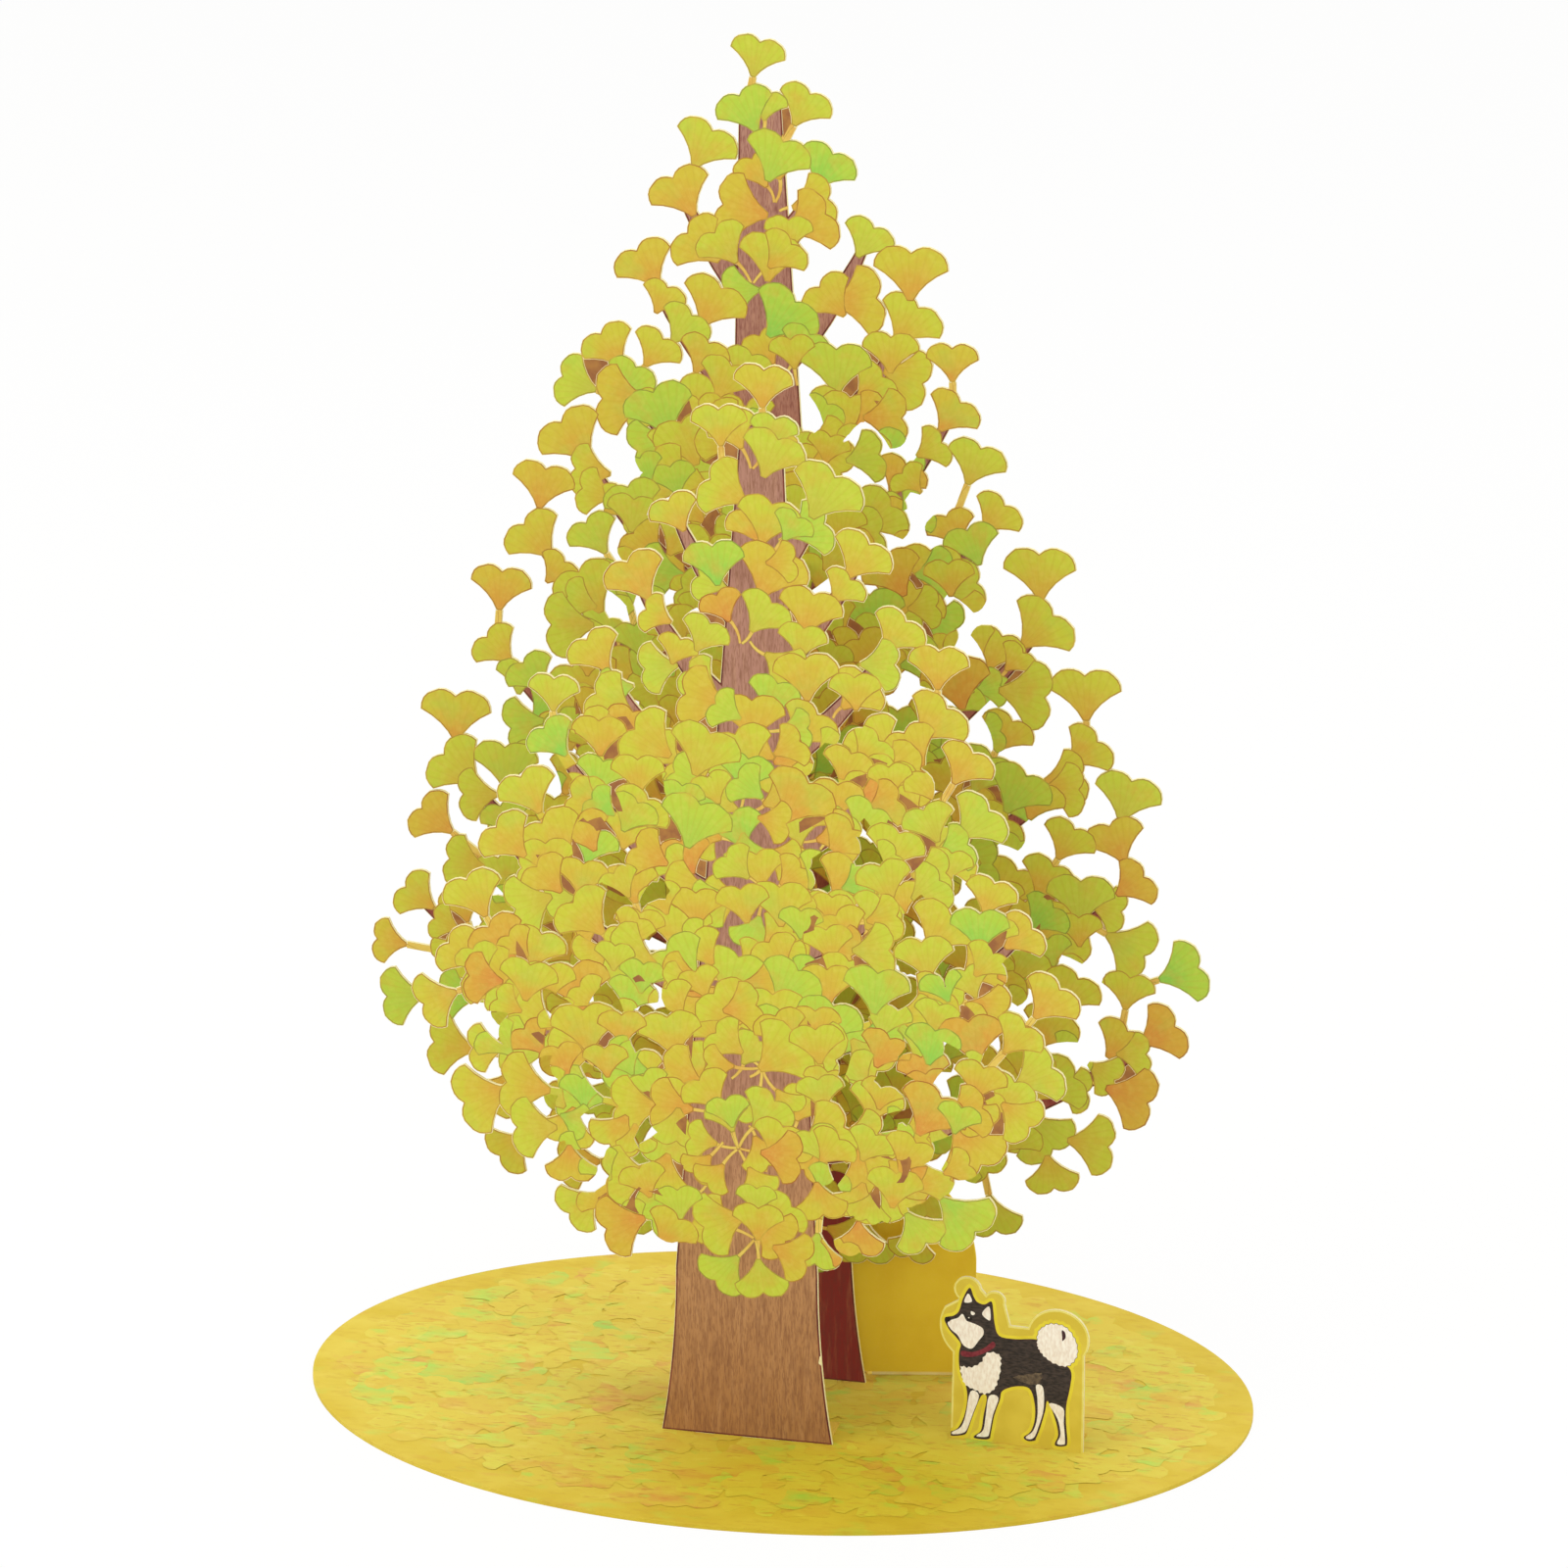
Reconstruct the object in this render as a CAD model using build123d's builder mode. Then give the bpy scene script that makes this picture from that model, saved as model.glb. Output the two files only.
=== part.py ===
"""A stand-up greeting card: two die-cut ginkgo trees, a prop and a dog on an oval base.

Millimetres. X runs along the oval, Y goes to the back and Z is up.
The origin is under the middle of the oval, on the surface that the card stands on.
"""

from build123d import *
from dataclasses import dataclass
from math import atan2, cos, degrees, dist, hypot, radians, sin, sqrt, tan
import os

# Card stock
card = 0.4  # thickness of the sheets that stand
base_card = 0.5  # thickness of the oval
link_card = 0.25  # thinner paper of the strips between the two trees
fold_radius = 0.25  # outside of a scored fold
clearance = 0.15  # between a sheet and the foot that it passes over

# Base
base_length = 120.0
base_depth = 89.0

# Depths of the standing sheets, given at their front faces
front_tree_y = -17.2
rear_tree_y = 3.0

# Rear tree
rear_height = 173.5
rear_crown_half = 55.0
rear_widest_z = 57.0
rear_crown_bottom = 16.0
rear_lean = -3.5  # how far the top stands beside the foot
rear_foot_half = 10.4
rear_trunk_half = 8.4
rear_branches = 17
rear_rim = 21.0  # width of the loose band of leaves round the crown

# Front tree
front_height = 138.5
front_crown_half = 43.5
front_widest_z = 60.0
front_crown_bottom = 21.0
front_lean = 2.2
front_foot_half = 10.9
front_trunk_half = 9.0
front_branches = 13
front_rim = 12.0

# What both trees share
crown_power = 0.68  # below 1 the crown bulges above its widest point
flare_height = 22.0
trunk_tip_half = 2.6
trunk_stop = 8.0  # from the end of the trunk to the top of the crown
branch_root = 4.2  # width of a branch at the trunk
branch_tip = 1.2
branch_bow = 0.1  # sag of a branch at its middle as a share of its reach
branch_inset = 6.5
branch_start = 18.0  # from the bottom of the crown to the lowest branch
branch_end = 28.0  # from the highest branch to the top of the crown
low_slope = 0.35  # rise of the lowest branch for each millimetre outwards
high_slope = 1.5  # the same for the highest one
least_reach = 2.0
settling_rounds = 30  # halvings until a branch ends at the rim of the crown

# Leaves
leaf_widths = (8.6, 7.6, 6.7)
lobe_cuts = 3  # straight cuts along each of a leaf's two lobes
inner_gap = 4.1  # least distance between two leaves in the full part of the crown
outer_gap = 5.9  # the same at the rim
open_top = 46.0  # height below the top of the crown where the leaves stay loose
leaf_inset = 3.0
hanging_height = 22.0  # leaves this near the bottom of the crown hang down
stem_width = 0.9
smallest_opening = 5.0  # in square millimetres, what a cutting rule can still cut
shortest_cut = 0.05  # corners of the outline that are closer than this become one
leaf_tries = 6000

# One leaf, as shares of its width from its throat outwards
throat_half = 0.04
side_tip = (0.43, 0.50)
lobe_bulge = (0.72, 0.30)
notch_reach = 0.65
spot_reach = 0.40  # from the throat to the middle that the leaf is placed by

# Where the stems grow from
trunk_step = 3.0  # between two points of the trunk
half_branch_steps = 6  # points along each half of a branch
shortest_stem = 2.6
upward_pull = 0.9  # against the pull outwards, which is 1 at the crown's widest
hanging_pull = -0.5
turning_cost = 0.9  # a stem against the pull counts as this much longer

# Folded feet, each glued down on the base
foot_depth = 6.0
foot_inset = 0.6

# Strips that hold the two trees parallel
link_heights = (60.0, 108.0)
link_widths = (12.0, 5.0)
link_flange = 6.0

# Prop behind the rear tree
prop_reach = 23.3
prop_angle = 12.5
prop_height = 30.5
prop_corner = 15.8
prop_flange = 6.5
prop_flange_corner = 2.5
prop_foot_depth = 5.0

# Dog panel, placed by its lower left corner
dog_x = 24.5
dog_y = -11.1
dog_angle = -4.0
dog_length = 17.0
dog_foot_depth = 5.0
dog_foot_inset = 1.0

# Outline of the dog panel along its length and upwards
dog_chest = (0.2, 12.0)
dog_muzzle = (-1.5, 16.2)
dog_nose = (-0.9, 18.2)
dog_brow = (1.0, 19.5)
dog_near_ear = (2.3, 22.7)
dog_near_ear_end = (3.8, 21.2)
dog_far_ear_start = (4.4, 20.5)
dog_far_ear = (6.1, 21.0)
dog_nape = (6.8, 19.4)
dog_withers = (7.5, 16.6)
dog_croup = (9.8, 16.6)
dog_tail_top = (13.6, 19.6)
dog_tail_end = 13.6  # height where the tail's bow meets the straight right side

# Fractions whose multiples spread points evenly over an area
golden_x = 0.7548776662
golden_z = 0.5698402910


@dataclass
class Tree:
    """The sizes of one die-cut tree."""

    y: float
    height: float
    crown_half: float
    widest_z: float
    crown_bottom: float
    lean: float
    foot_half: float
    trunk_half: float
    branch_count: int
    rim: float

    def axis(self, z):
        """Where the middle of the trunk is at a height."""
        return self.lean * (z / self.height) ** 2

    def half_width(self, z):
        """Half the width of the crown at a height."""
        if not self.crown_bottom < z < self.height:
            return 0.0
        if z > self.widest_z:
            rise = (self.height - z) / (self.height - self.widest_z)
            return self.crown_half * rise**crown_power
        drop = (self.widest_z - z) / (self.widest_z - self.crown_bottom)
        return self.crown_half * sqrt(1 - drop**2)

    def branches(self):
        """Root, middle and tip of each branch, from the lowest to the highest."""
        low = self.crown_bottom + branch_start
        high = self.height - branch_end
        found = []
        for k in range(self.branch_count):
            share = k / (self.branch_count - 1)
            side = 1 if k % 2 == 0 else -1
            root_z = low + share * (high - low)
            slope = low_slope + share * (high_slope - low_slope)
            reach = 0.0
            for _ in range(settling_rounds):
                edge = self.half_width(root_z + slope * reach) - branch_inset
                reach = (reach + max(least_reach, edge)) / 2
            tip_z = root_z + slope * reach
            root = (self.axis(root_z), root_z)
            tip = (self.axis(tip_z) + side * reach, tip_z)
            bow = branch_bow * reach
            middle = ((root[0] + tip[0]) / 2 + side * bow / 2, (root_z + tip_z) / 2 - bow)
            found.append((root, middle, tip))
        return found

    def wood(self):
        """Points along the trunk and the branches, where leaves can grow from."""
        points = []
        z = self.crown_bottom
        while z < self.height - trunk_stop:
            points.append((self.axis(z), z))
            z += trunk_step
        for root, middle, tip in self.branches():
            for start, end in ((root, middle), (middle, tip)):
                for k in range(1, half_branch_steps + 1):
                    share = k / half_branch_steps
                    run, rise = end[0] - start[0], end[1] - start[1]
                    points.append((start[0] + share * run, start[1] + share * rise))
        return points

    def spots(self):
        """The middles of the leaves, closer together inside the crown than at its rim."""
        found = [(self.axis(self.height), self.height - leaf_inset)]
        found += [tip for _, _, tip in self.branches()]
        for k in range(1, leaf_tries):
            x = ((0.5 + k * golden_x) % 1 - 0.5) * 2 * self.crown_half
            rise = (0.5 + k * golden_z) % 1
            z = self.crown_bottom + rise * (self.height - self.crown_bottom)
            inside = min(self.half_width(z) - abs(x), z - self.crown_bottom)
            if inside < leaf_inset:
                continue
            fullness = min(1.0, inside / self.rim) ** 2 if z < self.height - open_top else 0.0
            gap = outer_gap + (inner_gap - outer_gap) * fullness
            spot = (x + self.axis(z), z)
            if all(dist(spot, other) > gap for other in found):
                found.append(spot)
        return found

    def leaves(self):
        """Each leaf's size number, its middle and the point that its stem grows from."""
        carriers = self.wood()
        spots = self.spots()
        spots.sort(key=lambda spot: min(dist(spot, point) for point in carriers))
        found = []
        for k, spot in enumerate(spots):
            found.append((k % len(leaf_widths), spot, self.carrier(spot, carriers)))
            carriers.append(spot)
        return found

    def carrier(self, spot, carriers):
        """The best point for a stem: near the leaf, below it and towards the trunk."""
        outwards = (spot[0] - self.axis(spot[1])) / self.crown_half
        hanging = spot[1] < self.crown_bottom + hanging_height
        upwards = hanging_pull if hanging else upward_pull
        size = hypot(outwards, upwards)

        def cost(point):
            run, rise = spot[0] - point[0], spot[1] - point[1]
            length = hypot(run, rise)
            along = (run * outwards + rise * upwards) / (length * size)
            return length * (1 + turning_cost * (1 - along))

        return min((p for p in carriers if dist(spot, p) > shortest_stem), key=cost)


rear = Tree(
    y=rear_tree_y,
    height=rear_height,
    crown_half=rear_crown_half,
    widest_z=rear_widest_z,
    crown_bottom=rear_crown_bottom,
    lean=rear_lean,
    foot_half=rear_foot_half,
    trunk_half=rear_trunk_half,
    branch_count=rear_branches,
    rim=rear_rim,
)
front = Tree(
    y=front_tree_y,
    height=front_height,
    crown_half=front_crown_half,
    widest_z=front_widest_z,
    crown_bottom=front_crown_bottom,
    lean=front_lean,
    foot_half=front_foot_half,
    trunk_half=front_trunk_half,
    branch_count=front_branches,
    rim=front_rim,
)


def leaf_face(width):
    """A fan with two lobes. Its throat is at the origin and it opens along X."""
    tip, bulge = (Vector(*share) * width for share in (side_tip, lobe_bulge))
    lobe = ThreePointArc(tip, bulge, (notch_reach * width, 0), mode=Mode.PRIVATE)
    upper = [Vector(0, throat_half * width)]
    upper += [lobe @ (k / lobe_cuts) for k in range(lobe_cuts + 1)]
    lower = [Vector(point.X, -point.Y) for point in reversed(upper[:-1])]
    with BuildSketch() as leaf:
        with BuildLine():
            Polyline(upper + lower, close=True)
        make_face()
    return leaf.face()


def branch_face(root, middle, tip):
    """A branch that is bent at its middle and narrows from its root to its tip."""
    run, rise = tip[0] - root[0], tip[1] - root[1]
    length = hypot(run, rise)
    across = (-rise / length, run / length)
    halves = (branch_root / 2, (branch_root + branch_tip) / 4, branch_tip / 2)
    stations = list(zip((root, middle, tip), halves))
    left = [(p[0] + half * across[0], p[1] + half * across[1]) for p, half in stations]
    right = [(p[0] - half * across[0], p[1] - half * across[1]) for p, half in stations]
    with BuildSketch() as branch:
        with BuildLine():
            Polyline(left + right[::-1], close=True)
        make_face()
    return branch.face()


def trunk_face(tree):
    """The straight part of the trunk, from the top of its flare to its tip."""
    flare_top = base_card + flare_height
    top = tree.height - trunk_stop
    tip_left = (tree.axis(top) - trunk_tip_half, top)
    tip_right = (tree.axis(top) + trunk_tip_half, top)
    with BuildSketch() as trunk:
        with BuildLine():
            Polyline(
                (-tree.trunk_half, flare_top),
                (tree.trunk_half, flare_top),
                tip_right,
                tip_left,
                close=True,
            )
        make_face()
    return trunk.face()


def flare_face(tree):
    """The foot of the trunk, which widens towards the ground."""
    flare_top = base_card + flare_height
    flare_middle = base_card + flare_height / 2
    middle_half = (tree.foot_half + 3 * tree.trunk_half) / 4  # of a parabola
    foot_left, foot_right = (-tree.foot_half, base_card), (tree.foot_half, base_card)
    top_left, top_right = (-tree.trunk_half, flare_top), (tree.trunk_half, flare_top)
    with BuildSketch() as flare:
        with BuildLine():
            Line(foot_left, foot_right)
            ThreePointArc(foot_right, (middle_half, flare_middle), top_right)
            Line(top_right, top_left)
            ThreePointArc(top_left, (-middle_half, flare_middle), foot_left)
        make_face()
    return flare.face()


def rule_line(outline):
    """The same outline without the corners that are too close for a cutting rule."""
    corners = []
    for edge in outline.order_edges():
        if not corners or (edge @ 0 - corners[-1]).length > shortest_cut:
            corners.append(edge @ 0)
    if (corners[0] - corners[-1]).length < shortest_cut:
        corners.pop()
    with BuildLine() as line:
        Polyline(corners, close=True)
    return line.wire()


def tree_face(tree):
    """The whole die-cut outline: trunk, branches, stems and leaves in one."""
    shapes = [trunk_face(tree)]
    shapes += [branch_face(*branch) for branch in tree.branches()]
    patterns = [leaf_face(width) for width in leaf_widths]
    for size, spot, carrier in tree.leaves():
        turn = atan2(spot[1] - carrier[1], spot[0] - carrier[0])
        back = spot_reach * leaf_widths[size]
        throat = (spot[0] - back * cos(turn), spot[1] - back * sin(turn))
        shapes.append(patterns[size].moved(Location(throat, degrees(turn))))
        reach = dist(throat, carrier)
        if reach > stem_width:
            middle = ((throat[0] + carrier[0]) / 2, (throat[1] + carrier[1]) / 2)
            stem = Rectangle(reach + stem_width / 2, stem_width, mode=Mode.PRIVATE).face()
            shapes.append(stem.moved(Location(middle, degrees(turn))))
    with BuildSketch() as fused:
        add(shapes)
    crown = fused.faces().sort_by(SortBy.AREA)[-1]
    openings = [wire for wire in crown.inner_wires() if Face(wire).area > smallest_opening]
    with BuildSketch() as die_cut:
        make_face(rule_line(crown.outer_wire()).edges())
        add([make_face(rule_line(wire).edges(), mode=Mode.PRIVATE) for wire in openings],
            mode=Mode.SUBTRACT)
        add(flare_face(tree))
    return die_cut.face()


def upright(y):
    """The upright plane at a depth, seen from the front with X to the right."""
    return Plane.XZ.offset(-y)


def foot_strip(corner, turn, start, end, depth):
    """A foot folded back from the bottom of a sheet, whose front starts at the corner."""
    along = Vector(1, 0, 0).rotate(Axis.Z, turn)
    with BuildPart() as strip:
        with BuildSketch(Plane(origin=corner, x_dir=along, z_dir=(0, 0, 1))):
            with Locations(((start + end) / 2, (card + depth) / 2)):
                Rectangle(end - start, card + depth)
        extrude(amount=card)
    return strip.part


def round_fold(sheet):
    """Round the outside of the fold along the bottom of the sheet that is being built."""
    fold = sheet.edges().group_by(Axis.Z)[0].sort_by(SortBy.LENGTH)[-1]
    fillet(fold, fold_radius)


def tree_sheet(tree):
    """A die-cut tree with the foot that is folded back from its trunk."""
    die_cut = tree_face(tree)
    foot_half = tree.foot_half - foot_inset
    foot = foot_strip((0, tree.y, base_card), 0, -foot_half, foot_half, foot_depth)
    with BuildPart() as sheet:
        with BuildSketch(upright(tree.y)):
            add(die_cut)
        extrude(amount=-card)
        add(foot)
        round_fold(sheet)
    return sheet.part


def link_strip(height, width):
    """A strip from one tree to the other, bent down at both ends into glued flanges."""
    start = front_tree_y + card
    middle = (start + rear_tree_y) / 2
    span = rear_tree_y - start
    hang = (Align.CENTER, Align.MAX)
    with BuildPart() as strip:
        with BuildSketch(Plane.YZ):
            with Locations((middle, height)):
                Rectangle(span, link_flange, align=hang)
            with Locations((middle, height - link_card)):
                Rectangle(span - 2 * link_card, link_flange, align=hang, mode=Mode.SUBTRACT)
        extrude(amount=width / 2, both=True)
        folds = strip.edges().filter_by(Axis.X).group_by(Axis.Z)[-1]
        fillet(folds, fold_radius)
    return strip.part


with BuildPart() as base_oval:
    with BuildSketch():
        Ellipse(base_length / 2, base_depth / 2)
    extrude(amount=base_card)

rear_tree = tree_sheet(rear)
front_tree = tree_sheet(front)
lower_link = link_strip(link_heights[0], link_widths[0])
upper_link = link_strip(link_heights[1], link_widths[1])

# The prop's flange is glued to the back of the rear trunk, and the rest of it is splayed
prop_y = rear_tree_y + card + card / 2
prop_slope = radians(prop_angle)
prop_end = (prop_reach, prop_y + prop_reach * tan(prop_slope))
prop_normal = Vector(0, 1, 0).rotate(Axis.Z, prop_angle)
prop_corner_point = Vector(0, prop_y, base_card) - prop_normal * (card / 2)

# The prop passes over the foot of the rear tree, and its own foot starts beside it
relief_end = rear_foot_half + clearance
relief_top = base_card + card + clearance
prop_foot = foot_strip(
    prop_corner_point,
    prop_angle,
    (relief_end + (card + prop_foot_depth) * sin(prop_slope)) / cos(prop_slope),
    prop_reach / cos(prop_slope) - foot_inset,
    prop_foot_depth,
)

with BuildPart() as back_prop:
    with BuildSketch(Plane.XY.offset(base_card)):
        with BuildLine() as prop_path:
            Polyline((-prop_flange, prop_y), (0, prop_y), prop_end)
        trace(prop_path.line, line_width=card)
    extrude(amount=prop_height)
    prop_top = base_card + prop_height
    with BuildSketch(upright(0)) as prop_outline:
        with BuildLine():
            Polyline(
                (relief_end, base_card),
                (prop_reach, base_card),
                (prop_reach, prop_top),
                (-prop_flange, prop_top),
                (-prop_flange, relief_top),
                (relief_end, relief_top),
                close=True,
            )
        make_face()
        top_right = prop_outline.vertices().group_by(Axis.Y)[-1].sort_by(Axis.X)[-1]
        fillet(top_right, prop_corner)
        top_left = prop_outline.vertices().group_by(Axis.Y)[-1].sort_by(Axis.X)[0]
        fillet(top_left, prop_flange_corner)
    extrude(amount=-base_depth / 2, mode=Mode.INTERSECT)
    add(prop_foot)
    round_fold(back_prop)

dog_right = Vector(1, 0, 0).rotate(Axis.Z, dog_angle)
dog_front = Vector(0, -1, 0).rotate(Axis.Z, dog_angle)
dog_corner = (dog_x, dog_y, base_card)
dog_foot = foot_strip(
    dog_corner, dog_angle, dog_foot_inset, dog_length - dog_foot_inset, dog_foot_depth
)

with BuildPart() as dog_panel:
    with BuildSketch(Plane(origin=dog_corner, x_dir=dog_right, z_dir=dog_front)):
        with BuildLine():
            Line((0, 0), dog_chest)
            ThreePointArc(dog_chest, dog_muzzle, dog_nose)
            Line(dog_nose, dog_brow)
            ThreePointArc(dog_brow, dog_near_ear, dog_near_ear_end)
            Line(dog_near_ear_end, dog_far_ear_start)
            ThreePointArc(dog_far_ear_start, dog_far_ear, dog_nape)
            Line(dog_nape, dog_withers)
            Line(dog_withers, dog_croup)
            ThreePointArc(dog_croup, dog_tail_top, (dog_length, dog_tail_end))
            Line((dog_length, dog_tail_end), (dog_length, 0))
            Line((dog_length, 0), (0, 0))
        make_face()
    extrude(amount=-card)
    add(dog_foot)
    round_fold(dog_panel)

pieces = {
    "base_oval": base_oval.part,
    "rear_tree": rear_tree,
    "front_tree": front_tree,
    "lower_link": lower_link,
    "upper_link": upper_link,
    "back_prop": back_prop.part,
    "dog_panel": dog_panel.part,
}
os.makedirs("parts", exist_ok=True)
for name, piece in pieces.items():
    piece.label = name
    export_step(piece, f"parts/{name}.step")
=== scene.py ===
"""The looks of a stand-up greeting card: printed leaves, bark, fallen leaves and a dog on die-cut card.

Lengths are in millimetres until a mesh is made, with X to the right, Y to the back and Z up.
"""

import random
from dataclasses import dataclass
from math import atan2, cos, dist, hypot, pi, radians, sin, sqrt

import bpy
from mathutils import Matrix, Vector
from mathutils.geometry import delaunay_2d_cdt


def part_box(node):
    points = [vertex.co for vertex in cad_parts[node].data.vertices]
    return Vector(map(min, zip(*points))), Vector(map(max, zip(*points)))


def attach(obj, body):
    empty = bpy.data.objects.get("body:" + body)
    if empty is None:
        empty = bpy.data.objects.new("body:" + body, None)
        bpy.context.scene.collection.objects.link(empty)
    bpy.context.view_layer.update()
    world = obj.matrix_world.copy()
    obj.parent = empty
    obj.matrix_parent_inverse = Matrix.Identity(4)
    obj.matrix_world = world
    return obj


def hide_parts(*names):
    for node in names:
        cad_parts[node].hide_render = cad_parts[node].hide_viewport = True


MM = 0.001

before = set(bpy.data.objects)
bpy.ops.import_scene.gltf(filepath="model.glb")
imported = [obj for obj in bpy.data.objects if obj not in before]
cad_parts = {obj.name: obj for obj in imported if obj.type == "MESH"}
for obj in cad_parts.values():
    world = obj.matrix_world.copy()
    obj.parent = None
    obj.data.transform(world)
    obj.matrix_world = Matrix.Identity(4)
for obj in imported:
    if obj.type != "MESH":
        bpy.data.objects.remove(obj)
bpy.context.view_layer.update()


# The same sizes as the model's, so that the print lies on the die-cut card

CARD = 0.4
BASE_CARD = 0.5
FOOT_DEPTH = 6.0
FOOT_INSET = 0.6
CROWN_POWER = 0.68
FLARE_HEIGHT = 22.0
TRUNK_TIP_HALF = 2.6
TRUNK_STOP = 8.0
BRANCH_ROOT = 4.2
BRANCH_TIP = 1.2
BRANCH_BOW = 0.1
BRANCH_INSET = 6.5
BRANCH_START = 18.0
BRANCH_END = 28.0
LOW_SLOPE = 0.35
HIGH_SLOPE = 1.5
LEAST_REACH = 2.0
SETTLING_ROUNDS = 30
LEAF_WIDTHS = (8.6, 7.6, 6.7)
INNER_GAP = 4.1
OUTER_GAP = 5.9
OPEN_TOP = 46.0
LEAF_INSET = 3.0
HANGING_HEIGHT = 22.0
STEM_WIDTH = 0.9
SMALLEST_OPENING = 5.0
LEAF_TRIES = 6000
SIDE_TIP = (0.43, 0.50)
LOBE_BULGE = (0.72, 0.30)
NOTCH_REACH = 0.65
SPOT_REACH = 0.40
TRUNK_STEP = 3.0
HALF_BRANCH_STEPS = 6
SHORTEST_STEM = 2.6
UPWARD_PULL = 0.9
HANGING_PULL = -0.5
TURNING_COST = 0.9
GOLDEN_X = 0.7548776662
GOLDEN_Z = 0.5698402910

# A printed leaf's outline, as shares of its width

THROAT_HALF = 0.045
SIDE_HOLLOW = (0.27, 0.17)
SIDE_CUTS = 4
LOBE_CUTS = 8
SCALLOP_COUNTS = (2, 3)
SCALLOP_DEPTHS = (0.010, 0.022)
SCALLOP_SINK = 0.7  # share of a scallop's depth by which the lobe draws in first

# What the print keeps from the cut, and the lines drawn round its shapes

CUT_RIM = 0.05
LEAF_CONTOUR = 0.15
BARK_CONTOUR = 0.22
STEM_CONTOUR = 0.05
STEM_HALVES = (0.17, 0.19, 0.21, 0.24, 0.28)  # half the width of a drawn stem, from its start to its leaf
STEM_START = 0.2  # from the point that carries it
STEM_END = 0.6  # past the leaf's throat
STEM_BOW = 0.12  # most bow of a stem, as a share of its length

# How the leaves of the model are drawn

RIM_BAND = 9.0  # leaves closer than this to the crown's widest reach or to its top are smaller
RIM_WIDTHS = (0.86, 1.0)
INNER_WIDTHS = (0.94, 1.1)
BARK_START = 5.0  # from the bottom of the crown to where bark shows
BARK_END = 0.75  # share of the tree's height where it is hidden again
BARK_MIDDLE = 0.8  # share of the trunk's half width
BARK_SHOWN = 0.5  # share of the leaves there that are left out

# The smaller leaves that are only printed

SMALL_WIDTHS = (5.3, 7.4)
SHOOT_START = 6.0  # from the bottom of the crown to the lowest shoot
SHOOT_END = 12.0  # from the highest shoot to the top
SHOOT_GAP = 11.0
SHOOT_GAPS = (0.9, 1.1)  # shares of the usual gap
SHOOT_ASIDE = (0.1, 0.5)  # from the middle of the trunk, as shares of its half width
SHOOT_COUNTS = (5, 6)
SHOOT_WOBBLE = 0.15
SHOOT_REACH = (2.0, 3.4)
TOP_SHOOT = (radians(60), radians(60) + 1)  # directions of the two leaves of a shoot in the loose top
TIP_LEAF = (0.8, -3.0)  # from the tip of the trunk
TIP_TURN = radians(80)
TIP_STEM = 3.0
BRANCH_GAP = 4.5
BRANCH_COVER = 0.85
BRANCH_TURNS = (-50, 45)
BRANCH_WOBBLE = 20
BRANCH_BACK = 2.2  # from a branch back to the leaf's throat
BRANCH_STEMS = (1.5, 2.5)
CROWN_TRIES = 5000
CROWN_GAP = 4.0
CROWN_HEM = 4.0  # how far the small leaves reach below the crown's solid part
CROWN_DEPTH = 0.75  # share of the loose rim that they leave free
CROWN_BARK_SHOWN = 0.65
CROWN_SPLAY = 65  # degrees that a leaf at the widest reach leans outwards
CROWN_WOBBLE = 32
CROWN_HANGING = 0.4  # share of the low leaves that hang
CROWN_BACK = 2.4
CROWN_STEMS = (1.5, 3.0)

# The order and the hues of all leaves

LAYER_SPREAD = 4.0  # a lower leaf lies over a higher one, give or take this
DIE_CUT_GOLD = 0.08  # how much more golden the larger leaves are
HUE_SPREAD = 0.18
GREEN_SHARE = 0.07
GREEN_HUES = (0.0, 0.12)


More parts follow.
